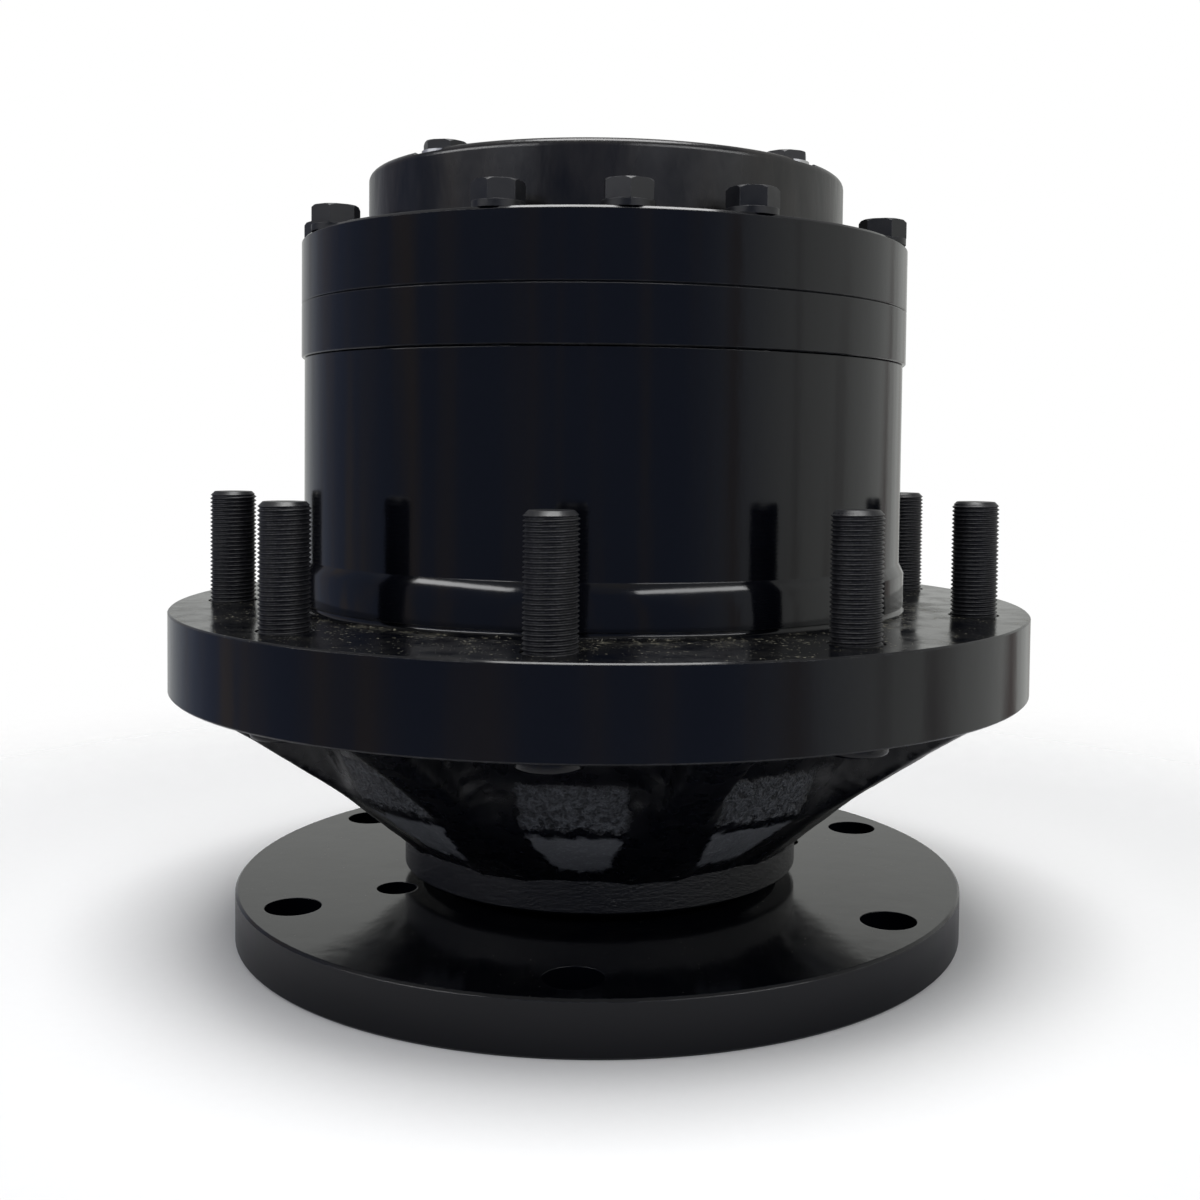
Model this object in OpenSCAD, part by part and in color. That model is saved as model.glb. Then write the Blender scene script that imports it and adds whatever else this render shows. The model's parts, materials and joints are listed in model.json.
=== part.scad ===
/* [Base flange] */
// Outside diameter of the base flange, the fixed end of the spindle
base_d = 261; // [256:1:268]
// Thickness of the base flange
base_t = 17.6; // [16.6:0.1:20]
// Number of plain bolt holes in the base flange
base_hole_count = 6; // [4:1:8]
// Bolt circle of the base holes
base_pcd = 228.6; // [224:0.1:234]
// Diameter of the base holes
base_hole_d = 18.8; // [14:0.1:21]
// Turn of the base holes, from the front towards the right
base_hole_turn = -3.8; // [-10:0.1:10]
// Distance from the collar's edge to the middle of the two jacking holes
jack_gap = 5.5; // [4:0.1:9]
// Diameter of the two jacking holes
jack_hole_d = 14; // [8:0.1:16]
// Turn of the jacking holes
jack_turn = -67; // [-80:1:-50]

/* [Motor side] */
// Diameter of the motor pilot bore in the underside of the base
motor_pilot_d = 101.6; // [98:0.1:106]
// Depth of the motor pilot bore
motor_pilot_depth = 12; // [10:0.1:13]
// Bolt circle of the two tapped motor holes
motor_pcd = 146.05; // [140:0.05:150]
// Diameter of the tapped motor holes
motor_hole_d = 12.7; // [10:0.1:14]
// Depth of the tapped motor holes
motor_hole_depth = 14.5; // [12:0.1:15.5]
// Diameter of the motor shaft that the coupling takes
motor_shaft_d = 22.225; // [19:0.005:25]
// Width of the motor key
motor_key_w = 6.35; // [4:0.05:8]
// Diameter of the room around the coupling
coupling_room_d = 60; // [52:1:64]
// Diameter of the spindle's bore above the coupling
spindle_bore_d = 44; // [36:1:50]

/* [Spindle and bearings] */
// Diameter of the spline at the top of the spindle, which holds the carrier
spline_d = 72; // [68:0.5:76]
// Radial step from the spline down to the outboard bearing's seat
thread_step = 4; // [3.5:0.5:6]
// Radial section of the outboard bearing, from its bore to its outside
outboard_section = 15; // [14.5:0.5:17]
// Width of the outboard bearing
outboard_w = 20; // [19:0.5:22]
// Radial step from the outboard bearing's seat to the inboard one
seat_step = 5; // [4:0.5:6]
// Radial section of the inboard bearing, from its bore to its outside
inboard_section = 17.5; // [17:0.5:19]
// Width of the inboard bearing
inboard_w = 23; // [22:0.5:26]
// Radial step from the inboard bearing's seat to the seal journal
journal_step = 5; // [4:0.5:6.5]
// Radial room for the inboard cup to pass the seal's bore
cup_pass = 2.5; // [0.5:0.5:4]
// Width of the shaft seal
seal_w = 12; // [9:0.5:13]
// Radial wall of the bearing nut
nut_wall = 10; // [8:1:13]
// Thickness of the bearing nut
nut_t = 8.5; // [6:0.5:9]

/* [Hub casting] */
// Gap between the base flange and the collar above it
collar_gap = 3.9; // [2:0.1:5]
// Height of the collar
collar_h = 12; // [10:0.5:16]
// Wall of the collar around the shaft seal
collar_wall = 6.5; // [5.5:0.5:8]
// Thickness of the wheel flange
wheel_flange_t = 27.3; // [22:0.1:30]
// Height of the underside of the wheel flange above the base
wheel_flange_z = 88.5; // [86:0.1:92]
// Thickness of the ribs under the wheel flange, one between each pair of studs
rib_t = 17; // [10:0.5:20]
// Diameter of the wheel pilot at the foot of the drum
pilot_d = 217.8; // [217.4:0.1:222]
// Height of the wheel pilot
pilot_h = 13.2; // [9:0.1:18]
// Outside diameter of the drum
drum_d = 214.5; // [212:0.1:217]
// Height of the drum above the wheel flange
drum_h = 86.4; // [85:0.1:90]

/* [Wheel studs] */
// Number of wheel studs
stud_count = 9; // [6:1:10]
// Bolt circle of the wheel studs
stud_pcd = 266.7; // [258:0.1:280]
// Distance from the stud circle to the edge of the wheel flange
stud_rim = 19.15; // [17:0.05:24]
// Diameter of the wheel studs' thread
stud_d = 15.875; // [14:0.005:17]
// Diameter of the wheel studs' shank, pressed into the flange
stud_shank_d = 17.4; // [17.2:0.1:19]
// Length of a stud above the wheel flange
stud_reach = 39.2; // [30:0.1:60]
// Diameter of the stud's round head
stud_head_d = 20.3; // [19:0.1:26]
// Thickness of the stud's head
stud_head_t = 4.9; // [3:0.1:8]
// Turn of the studs, from the front towards the right
stud_turn = -6.2; // [-15:0.1:15]

/* [Ring gear and cover] */
// Outside diameter of the ring gear and the cover
ring_d = 216.6; // [215:0.1:217.2]
// Thickness of the ring gear's band between the drum and the cover
ring_band_t = 18.4; // [14:0.1:24]
// Wall of the ring gear outside its teeth
sleeve_wall = 8.2; // [7:0.1:9]
// Thickness of the cover's flange
cover_flange_t = 22.1; // [21:0.1:26]
// Outside diameter of the raised cap of the cover
cap_d = 170.6; // [166:0.1:174]
// Height of the cap above the cover's flange
cap_h = 24.6; // [24:0.1:32]
// Wall of the cap
cap_wall = 6; // [5:0.1:7]
// Thickness of the cap's top
cap_top_t = 8.5; // [7:0.1:9.5]
// Positions on the cover's bolt circle, of which every fourth holds a dowel
cover_places = 16; // [12:4:16]
// Bolt circle of the cover bolts
cover_pcd = 200.6; // [200:0.1:201]
// Diameter of the cover bolts
cover_bolt_d = 9.525; // [8:0.005:10]
// Width of the cover bolt heads across flats
bolt_head_af = 14.3; // [13:0.1:14.5]
// Height of the cover bolt heads
bolt_head_h = 6.3; // [5:0.1:8]
// Turn of the cover bolts, from the front towards the right
cover_turn = 3.6; // [0:0.1:10]
// Distance of the oil plugs from the middle of the cap
plug_r = 77; // [72:0.1:78]
// Turn of the first oil plug
plug_turn = -43; // [-60:1:-20]
// Angle between the two oil plugs
plug_spread = 93; // [70:1:180]
// Diameter of the disconnect cap in the middle of the cover
disconnect_d = 64; // [60:1:72]

/* [Gears] */
// Module of all the gears
gear_module = 2.25; // [2.2:0.01:2.3]
// Face width of the output stage
output_face = 28; // [26:0.1:28]
// Face width of the input stage
input_face = 18; // [14:0.1:18]

/* [Hidden] */
$fn = 96;

over = 1;            // how far a cut runs past the face that it opens
sink = 0.02;         // how far the bell reaches into the flange, so that they are one piece
slip = 0.05;         // radial gap of a running fit
loose = 0.3;         // gap between pieces that pass each other
hole_gap = 0.2;      // radial gap of a bolt in its hole
edge = 0.8;          // chamfer on machined edges
flange_edge = 0.5;   // chamfer on both edges of the wheel flange
seam_edge = 0.4;     // chamfer on the two seams of the drum
cap_round = 2.6;     // round on the top edge of the cap

black = [0.06, 0.065, 0.08];
cast_black = [0.10, 0.10, 0.11];
oxide = [0.16, 0.16, 0.17];
steel = [0.62, 0.63, 0.65];
rubber = [0.08, 0.08, 0.08];
bronze = [0.72, 0.52, 0.28];

// Teeth: with three planets, ring and sun teeth add up to a multiple of three in each stage
ring_teeth = 72;
input_sun_teeth = 18;
output_sun_teeth = 24;
ring_pitch_r = gear_module * ring_teeth / 2;

// Diameters that follow from the spline, the teeth and the studs outwards
outboard_bore_d = spline_d + 2 * thread_step;
outboard_cup_d = outboard_bore_d + 2 * outboard_section;
inboard_bore_d = outboard_bore_d + 2 * seat_step;
inboard_cup_d = inboard_bore_d + 2 * inboard_section;
seal_journal_d = inboard_bore_d + 2 * journal_step;
seal_d = inboard_cup_d + 2 * cup_pass;
collar_d = seal_d + 2 * collar_wall;
jack_pcd = collar_d + 2 * jack_gap;
nut_d = outboard_bore_d + 2 * nut_wall;
ring_root_r = ring_pitch_r + 1.25 * gear_module;
sleeve_d = 2 * (ring_root_r + sleeve_wall);
wheel_flange_d = stud_pcd + 2 * stud_rim;

// Heights of the casting and the cover, from the underside of the base
collar_z = base_t + collar_gap;
collar_top = collar_z + collar_h;
flange_top = wheel_flange_z + wheel_flange_t;
ring_z = flange_top + drum_h;
cover_z = ring_z + ring_band_t;
cover_top = cover_z + cover_flange_t;
cap_top = cover_top + cap_h;
relief_h = 2.1;      // undercut at the foot of the pilot
relief_depth = 0.9;
pilot_taper_h = 3.5;

// Bearings: each is [bore radius, outer radius, width, low face, side where the rollers widen]
seal_z = collar_z + 2.5;
inboard_z = seal_z + seal_w + 4;
outboard_top = flange_top + 26.5;
outboard_z = outboard_top - outboard_w;
inboard = [inboard_bore_d / 2, inboard_cup_d / 2, inboard_w, inboard_z, -1];
outboard = [outboard_bore_d / 2, outboard_cup_d / 2, outboard_w, outboard_z, 1];
roller_tilt = 12;
roller_taper = 1.6;

// Nut, carrier and ring gear stack above the outboard bearing
washer_t = 1.2;
lock_t = 1.5;
nut_z = outboard_top + lock_t;
thread_r = outboard_bore_d / 2 - 1;
nut_slot_w = 8;
nut_slot_depth = 3.5;
tab_w = 4;           // tabs of the lock washer
tab_r = nut_d / 2 - 5;
spline_count = 24;
spline_r = spline_d / 2;
spline_depth = 1.8;
snap_root_r = spline_r - spline_depth + 0.3;    // groove of the carrier's retaining ring
snap_groove_w = 1.5;
snap_groove_top = 1;
snap_ring_w = 4;
snap_gap = 6;
carrier_z = nut_z + nut_t + 1;
carrier_plate_t = 10.5;
spindle_top = carrier_z + carrier_plate_t + 2.6;
boss_h = 2.9;
output_z = carrier_z + carrier_plate_t + boss_h + washer_t;
output_top = output_z + output_face;
upper_plate_z = output_top + washer_t;
upper_plate_t = 7.5;
thrust_t = 3.3;
input_plate_z = upper_plate_z + upper_plate_t + thrust_t + 0.1;
input_plate_t = 7.5;
input_z = input_plate_z + input_plate_t + washer_t;
input_top = input_z + input_face;
shaft_top = cap_top - cap_top_t - 11.5;
hub_floor = outboard_top + 1;
sleeve_z = hub_floor + 20;
sleeve_top = cover_top - 3;
cavity_r = ring_pitch_r + 3;
cup_shoulder = 5;    // radial height of the shoulders that the cups sit against

// Gears
pressure_angle = 20;
tooth_gap = 0.055;   // taken off each flank, at the pitch circle
flank_steps = 3;
output_planet_teeth = (ring_teeth - output_sun_teeth) / 2;
input_planet_teeth = (ring_teeth - input_sun_teeth) / 2;
output_centre = gear_module * (output_sun_teeth + output_planet_teeth) / 2;
input_centre = gear_module * (input_sun_teeth + input_planet_teeth) / 2;
planet_turns = [30, 150, 270];
output_pin_r = 9;
output_needle_r = 2;
input_pin_r = 7.5;
input_needle_r = 1.75;
needle_count = 14;
carrier_r = ring_pitch_r - gear_module - 2.6;
web_t = 29;          // radial width of the webs between the carrier's plates
pin_floor = 2;       // wall of the carrier under the pins
sun_bore_r = 13;
shaft_r = 10.5;

// Coupling and shaft ends
coupling_r = 20;
coupling_z = motor_pilot_depth + 0.5;
coupling_depth = 42;
coupling_top = coupling_z + coupling_depth + 19.5;
coupling_spline_count = 12;
coupling_spline_r = 9.6;
coupling_spline_depth = 1.4;
coupling_room_top = 82;
key_h = 2.9;
shaft_snap_r = coupling_spline_r - 1.6;         // groove of the coupling's retaining ring
sun_spline_count = 18;
sun_spline_r = 20;
sun_spline_depth = 1.6;
sun_collar_r = 22;

// Fasteners
cover_washer_t = 2.2;
cover_washer_r = 8.1;
cover_bolt_reach = 18;
tap_room = 2;        // depth of a tapped hole past its screw
dowel_d = 8;
dowel_reach = 11;    // of a dowel into the casting and into the cover
o_ring_d = 2.5;      // section of the O-rings beside the ring gear's band
o_ring_gap = 6;
o_ring_groove = 2.6;
o_ring_groove_w = 3.6;
plug_hole_d = 11;
plug_washer_t = 1;
plug_washer_w = 2.2;
plug_head_af = 13;
plug_head_h = 3.2;
plug_spot_r = 10;    // flat cut for the plug's head, which breaks out of the cap's edge
plug_spot_depth = 1.25;
plug_seat_z = cap_top - plug_spot_depth + plug_washer_t;
disconnect_t = 6;
disconnect_spigot_r = 20;
disconnect_bolt_r = disconnect_spigot_r + 5.5;
disconnect_bolt_d = 6;
disconnect_bolt_reach = 6;
disconnect_head_af = 10;
disconnect_head_h = 4;
disconnect_ring_d = 2.2;
disconnect_ring_z = cap_top - 3.8;
disconnect_groove = 2.3;
disconnect_groove_w = 2.8;
plunger_r = 5;
plunger_foot_r = 9;

// A place on a circle, turned from the front (-Y) towards the right (+X)
module at_turn(turn, radius) {
  rotate([0, 0, turn - 90]) translate([radius, 0, 0]) children();
}

module around(count, turn, radius) {
  for (i = [0:count - 1]) at_turn(turn + i * 360 / count, radius) children();
}

// Every place of the cover's circle but each fourth, which a dowel takes
module at_cover_bolts() {
  for (i = [0:cover_places - 1]) if (i % 4 != 2)
    at_turn(cover_turn + i * 360 / cover_places, cover_pcd / 2) children();
}

module at_cover_dowels() {
  for (i = [2:4:cover_places - 1])
    at_turn(cover_turn + i * 360 / cover_places, cover_pcd / 2) children();
}

module at_plugs() {
  for (turn = [plug_turn, plug_turn + plug_spread]) at_turn(turn, plug_r) children();
}

// Ring of rectangular section
module ring(inner, outer, z0, z1) {
  difference() {
    translate([0, 0, z0]) cylinder(r = outer, h = z1 - z0);
    hole(2 * inner, z0, z1);
  }
}

// Cut from one face to another, and a little past both
module hole(d, z0, z1) {
  translate([0, 0, z0 - over]) cylinder(d = d, h = z1 - z0 + 2 * over);
}

// Cut from its floor to the face that it opens, which may be above or below
module blind_hole(d, floor_z, face_z) {
  open_z = face_z + (face_z > floor_z ? over : -over);
  translate([0, 0, min(floor_z, open_z)]) cylinder(d = d, h = abs(open_z - floor_z));
}

// Retaining ring with a gap
module split_ring(inner, outer, z0, z1, gap) {
  difference() {
    ring(inner, outer, z0, z1);
    translate([inner - over, -gap / 2, z0 - over])
      cube([outer - inner + 2 * over, gap, z1 - z0 + 2 * over]);
  }
}

// Disc with a chamfer on its low edge, its high edge or both
module disc(r, z0, z1, low, high) {
  rotate_extrude() polygon([[0, z0], [r - low, z0], [r, z0 + low], [r, z1 - high],
    [r - high, z1], [0, z1]]);
}

// Disc with a round on its high edge
module rounded_disc(r, z0, z1, round) {
  rotate_extrude() polygon(concat([[0, z0], [r, z0]],
    [for (a = [0:15:90]) [r - round + round * cos(a), z1 - round + round * sin(a)]], [[0, z1]]));
}

// Hexagonal prism by its width across flats, with its top corners chamfered
module hex_head(af, h) {
  intersection() {
    cylinder(d = af / cos(30), h = h, $fn = 6);
    disc(af / 2 / cos(30), 0, h, 0, af * 0.06);
  }
}

// Involute gear outline: half angle of a tooth at each radius, then both flanks of every tooth
function involute(a) = tan(a) * 180 / PI - a;

function half_tooth(teeth, base_r, pitch_r, gap, r) =
  90 / teeth - gap / pitch_r * 180 / PI + involute(pressure_angle)
  - (r > base_r ? involute(acos(base_r / r)) : 0);

function polar(r, a) = [r * cos(a), r * sin(a)];

function gear_outline(teeth, root, tip, gap, turn) =
  let (pitch_r = gear_module * teeth / 2, base_r = pitch_r * cos(pressure_angle),
       low = max(root, base_r),
       radii = concat(root < base_r ? [root] : [],
         [for (s = [0:flank_steps]) low + (tip - low) * s / flank_steps]),
       last = len(radii) - 1)
  [for (t = [0:teeth - 1]) each concat(
    [for (i = [0:last]) polar(radii[i], turn + t * 360 / teeth
      - half_tooth(teeth, base_r, pitch_r, gap, radii[i]))],
    [for (i = [last:-1:0]) polar(radii[i], turn + t * 360 / teeth
      + half_tooth(teeth, base_r, pitch_r, gap, radii[i]))])];

module gear_teeth(teeth, turn, z0, z1) {
  pitch_r = gear_module * teeth / 2;
  translate([0, 0, z0]) linear_extrude(z1 - z0)
    polygon(gear_outline(teeth, pitch_r - 1.25 * gear_module, pitch_r + gear_module,
      tooth_gap, turn));
}

// Turn that puts a planet in mesh with the ring gear, and the sun in mesh with the planets
function planet_phase(turn, teeth) = turn * (1 - ring_teeth / teeth);
function sun_phase(turn, sun, planet) =
  turn * (1 + ring_teeth / sun) - 180 / sun * (1 - planet);

// Straight spline outline, outside for a shaft or inside for a bore
function spline_outline(count, r, depth) =
  [for (i = [0:count - 1]) each [
    polar(r - depth, (i - 0.32) * 360 / count), polar(r, (i - 0.2) * 360 / count),
    polar(r, (i + 0.2) * 360 / count), polar(r - depth, (i + 0.32) * 360 / count)]];

module spline(count, r, depth, z0, z1) {
  translate([0, 0, z0]) linear_extrude(z1 - z0) polygon(spline_outline(count, r, depth));
}

// Tapered bearing, drawn along the line of its rollers' axes
function roller_mid(b) = (b[0] + b[1]) / 2;
function roller_r(b) = (b[1] - b[0]) * 0.2;
function roller_len(b) = b[2] * 0.62;
function roller_count(b) = floor(PI * roller_mid(b) / roller_r(b) / 1.22);
function mid_z(b) = b[3] + b[2] / 2;
// Radius of the raceway at a height: side is -1 on the cone and 1 in the cup
function race_r(b, side, z) = roller_mid(b) + side * (roller_r(b) + slip) / cos(roller_tilt)
  + b[4] * (z - mid_z(b)) * tan(roller_tilt + side * roller_taper);

module at_rollers(b) {
  for (i = [0:roller_count(b) - 1])
    rotate([0, 0, i * 360 / roller_count(b)]) translate([roller_mid(b), 0, mid_z(b)])
      rotate([0, b[4] * roller_tilt, 0]) children();
}

module bearing_roller(b, grow, stretch) {
  h = roller_len(b) + 2 * stretch;
  step = b[4] * h / 2 * tan(roller_taper);
  translate([0, 0, -h / 2])
    cylinder(r1 = roller_r(b) + grow - step, r2 = roller_r(b) + grow + step, h = h, $fn = 32);
}

module bearing_cup(b) {
  z0 = b[3];
  z1 = b[3] + b[2];
  color(steel) rotate_extrude() polygon([[race_r(b, 1, z0), z0], [b[1] - 0.8, z0],
    [b[1], z0 + 0.8], [b[1], z1 - 0.8], [b[1] - 0.8, z1], [race_r(b, 1, z1), z1]]);
}

module bearing_cone(b) {
  z0 = b[3];
  z1 = b[3] + b[2];
  half = roller_len(b) / 2 * cos(roller_tilt) + 0.5;
  rib = roller_mid(b) - roller_r(b) * 0.45;
  low = mid_z(b) - half;
  high = mid_z(b) + half;
  tilt_gap = roller_r(b) * sin(roller_tilt) + 0.5;
  lip = roller_r(b) * 0.4;
  low_rib = min(rib, race_r(b, -1, low) + lip);
  high_rib = min(rib, race_r(b, -1, high) + lip);
  color(steel) rotate_extrude() polygon([[b[0], z0], [low_rib, z0],
    [low_rib, low - tilt_gap / 2], [race_r(b, -1, low - tilt_gap / 2), low - tilt_gap / 2],
    [race_r(b, -1, high + tilt_gap / 2), high + tilt_gap / 2],
    [high_rib, high + tilt_gap / 2], [high_rib, z1], [b[0], z1]]);
}

module bearing_rollers(b) {
  color(steel) at_rollers(b) bearing_roller(b, 0, 0);
}

// Conical cage with one window to each roller
module bearing_cage(b) {
  half = roller_len(b) / 2 + 1.4;
  rise = b[4] * half * sin(roller_tilt);
  run = half * cos(roller_tilt);
  wall = 0.8;
  shift = roller_r(b) * 0.25;
  mid = roller_mid(b) + shift;
  color(bronze) difference() {
    rotate_extrude() polygon([[mid - wall - rise, mid_z(b) - run],
      [mid + wall - rise, mid_z(b) - run], [mid + wall + rise, mid_z(b) + run],
      [mid - wall + rise, mid_z(b) + run]]);
    at_rollers(b) bearing_roller(b, 0.15, 0.2);
  }
}

module spindle() {
  seat = inboard[0];
  top_seat = outboard[0];
  cone_top = inboard[3] + inboard[2];
  color(black) difference() {
    union() {
      disc(base_d / 2, 0, base_t, edge, edge);
      rotate_extrude() polygon([[0, base_t - 1], [seal_journal_d / 2 + 6, base_t - 1],
        [seal_journal_d / 2 + 6, base_t + collar_gap - 2],
        [seal_journal_d / 2, base_t + collar_gap + 1.5],
        [seal_journal_d / 2, inboard[3]], [seat, inboard[3]], [seat, cone_top],
        [seat - 1, cone_top + 2], [top_seat, outboard_z - 14], [top_seat, outboard_top],
        [thread_r, outboard_top], [thread_r, carrier_z - 1],
        [spline_r - spline_depth, carrier_z - 1], [0, carrier_z - 1]]);
      spline(spline_count, spline_r, spline_depth, carrier_z - 1.5, spindle_top);
    }
    blind_hole(motor_pilot_d, motor_pilot_depth, 0);
    blind_hole(coupling_room_d, coupling_room_top, motor_pilot_depth);
    hole(spindle_bore_d, 0, spindle_top);
    around(base_hole_count, base_hole_turn, base_pcd / 2) hole(base_hole_d, 0, base_t);
    around(2, jack_turn, jack_pcd / 2) hole(jack_hole_d, 0, base_t);
    around(2, jack_turn + 90, motor_pcd / 2) blind_hole(motor_hole_d, motor_hole_depth, 0);
    ring(snap_root_r, spline_r + over, spindle_top - snap_groove_top - snap_groove_w,
      spindle_top - snap_groove_top);
  }
}

module nut_lock_washer() {
  color(steel) difference() {
    ring(thread_r + slip, nut_d / 2 - 3, outboard_top, outboard_top + lock_t);
    for (a = [0:60:300]) rotate([0, 0, a]) translate([tab_r, -tab_w / 2, outboard_top - over])
      cube([tab_w, tab_w, lock_t + 2 * over]);
  }
}

module bearing_nut() {
  color(oxide) difference() {
    ring(thread_r + slip, nut_d / 2, nut_z, nut_z + nut_t);
    for (a = [0:60:300]) rotate([0, 0, a])
      translate([nut_d / 2 - nut_slot_depth, -nut_slot_w / 2, nut_z - over])
        cube([nut_slot_depth + over, nut_slot_w, nut_t + 2 * over]);
  }
}

// Fixed carrier of the output stage: two plates joined by webs between the planets
module output_carrier() {
  z = carrier_z;
  plate_top = z + carrier_plate_t;
  planet_room = gear_module * (output_planet_teeth / 2 + 1) + 1.5;
  sun_room = gear_module * (output_sun_teeth / 2 + 1) + 2;
  snap_room = snap_root_r + snap_ring_w + loose;
  color(oxide) difference() {
    union() {
      disc(carrier_r, z, plate_top, edge, edge);
      around(3, 90 + planet_turns[0], output_centre)
        translate([0, 0, plate_top - 1]) cylinder(r = output_pin_r + 5, h = boss_h + 1);
      difference() {
        ring(carrier_r - 1 - web_t, carrier_r - 1, plate_top - 1, upper_plate_z + 1);
        around(3, 90 + planet_turns[0], output_centre)
          hole(2 * planet_room, plate_top - 1, upper_plate_z + 1);
      }
      disc(carrier_r, upper_plate_z, upper_plate_z + upper_plate_t, edge, edge);
    }
    spline(spline_count, spline_r + 0.1, spline_depth, z - over, plate_top + over);
    blind_hole(2 * sun_room, plate_top, upper_plate_z + upper_plate_t);
    blind_hole(2 * snap_room, plate_top, plate_top + boss_h);
    around(3, 90 + planet_turns[0], output_centre)
      blind_hole(2 * output_pin_r, z + pin_floor, upper_plate_z + upper_plate_t);
  }
}

module output_planet_pins() {
  color(steel) around(3, 90 + planet_turns[0], output_centre)
    disc(output_pin_r, carrier_z + pin_floor, upper_plate_z + upper_plate_t, 0.5, 0.5);
}

module output_thrust_washers() {
  color(bronze) around(3, 90 + planet_turns[0], output_centre) for (z = [output_z - washer_t,
    upper_plate_z - washer_t])
      ring(output_pin_r + 0.1, output_pin_r + 6, z, z + washer_t - 0.1);
}

module carrier_retaining_ring() {
  low = spindle_top - snap_groove_top - snap_groove_w + 0.1;
  color(steel) split_ring(snap_root_r + slip, snap_root_r + snap_ring_w, low,
    low + snap_groove_w - 0.2, snap_gap);
}

// Bell under the wheel flange: lower slope, upper slope and a round into the flange
bell_low_r = 97.6;
bell_low_h = 21.1;
bell_high_r = 106.7;
bell_high_h = 17.8;
bell_round = 7;
rib_start = 1.5;     // the ribs leave the collar this much below its top
rib_foot = [97.6, 20.6];     // radius, and height above the collar
rib_knee = [22.7, 42.9];     // distance in from the flange's edge, and height above the collar
rib_tip_gap = 4;     // the ribs run out this far inside the flange's edge
rib_root = 4;        // the ribs start this far inside the collar

module hub_casting() {
  bell_z = collar_top + bell_low_h;
  bell_top = bell_z + bell_high_h;
  fillet_r = bell_high_r + 2 * bell_round;
  core_r = seal_d / 2 - 20;
  cup_r = inboard[1];
  cup_top = inboard_z + inboard_w;
  seal_floor = seal_z + seal_w + 0.5;
  rib_knee_r = wheel_flange_d / 2 - rib_knee[0];
  rib_knee_z = collar_top + rib_knee[1];
  rib_tip_r = wheel_flange_d / 2 - rib_tip_gap;
  rib_run = (rib_tip_r - rib_knee_r) / (wheel_flange_z - rib_knee_z);
  rib_slope = (rib_foot[1] + rib_start) / (rib_foot[0] - collar_d / 2);
  color(black) difference() {
    union() {
      rotate_extrude() polygon(concat(
        [[core_r, collar_z], [collar_d / 2 - 1, collar_z],
         [collar_d / 2, collar_z + 1], [collar_d / 2, collar_top], [bell_low_r, bell_z],
         [bell_high_r, bell_top]],
        [for (a = [180:-15:90]) [fillet_r + bell_round * cos(a),
          wheel_flange_z + sink - bell_round + bell_round * sin(a)]],
        [[core_r, wheel_flange_z + sink]]));
      disc(wheel_flange_d / 2, wheel_flange_z, flange_top, flange_edge, flange_edge);
      rotate_extrude() polygon([[0, flange_top - 1], [pilot_d / 2 - relief_depth, flange_top - 1],
        [pilot_d / 2 - relief_depth, flange_top + relief_h], [pilot_d / 2, flange_top + relief_h],
        [pilot_d / 2, flange_top + pilot_h],
        [drum_d / 2, flange_top + pilot_h + pilot_taper_h],
        [drum_d / 2, ring_z - seam_edge], [drum_d / 2 - seam_edge, ring_z], [0, ring_z]]);
      color(cast_black) around(stud_count, stud_turn + 180 / stud_count, 0)
        rotate([90, 0, 0]) translate([0, 0, -rib_t / 2]) linear_extrude(rib_t)
          polygon([[collar_d / 2 - rib_root, collar_top - rib_start - rib_root * rib_slope],
            [rib_foot[0], collar_top + rib_foot[1]],
            [rib_knee_r, rib_knee_z], [rib_tip_r + rib_run, wheel_flange_z + 1],
            [collar_d / 2 - rib_root, wheel_flange_z + 1]]);
    }
    rotate_extrude() polygon([[0, collar_z - over], [seal_d / 2, collar_z - over],
      [seal_d / 2, seal_floor], [cup_r, seal_floor], [cup_r, cup_top],
      [cup_r - cup_shoulder, cup_top], [cup_r - cup_shoulder, outboard_z - 22],
      [outboard[1] - cup_shoulder, outboard_z - 12], [outboard[1] - cup_shoulder, outboard_z],
      [outboard[1], outboard_z], [outboard[1], hub_floor],
      [cavity_r, hub_floor], [cavity_r, sleeve_z], [sleeve_d / 2 + slip, sleeve_z],
      [sleeve_d / 2 + slip, ring_z + over], [0, ring_z + over]]);
    around(stud_count, stud_turn, stud_pcd / 2) hole(stud_shank_d, wheel_flange_z, flange_top);
    at_cover_bolts() blind_hole(cover_bolt_d + 2 * slip, ring_z - cover_bolt_reach - tap_room, ring_z);
    at_cover_dowels() blind_hole(dowel_d, ring_z - dowel_reach - tap_room / 2, ring_z);
  }
}

module wheel_studs() {
  color(oxide) around(stud_count, stud_turn, stud_pcd / 2) {
    disc(stud_shank_d / 2, wheel_flange_z - 1, flange_top, 0, 0);
    disc(stud_d / 2, flange_top - 1, flange_top + stud_reach, 0, 1.4);
    difference() {
      disc(stud_head_d / 2, wheel_flange_z - stud_head_t, wheel_flange_z, 0.8, 0);
      translate([0, 0, wheel_flange_z - stud_head_t - 1]) cylinder(r1 = 5, r2 = 3, h = 2);
    }
  }
}

// Metal case with a lip that runs on the journal
module shaft_seal() {
  lip = seal_journal_d / 2 + slip;
  z = seal_z;
  color(rubber) rotate_extrude() polygon([[seal_d / 2, z], [seal_d / 2, z + seal_w],
    [seal_d / 2 - 1.5, z + seal_w], [seal_d / 2 - 1.5, z + 2.5],
    [lip + 4, z + 2.5], [lip + 3, z + seal_w - 2], [lip, z + seal_w - 4],
    [lip + 1.5, z + 3], [lip + 1.5, z]]);
}

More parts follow.
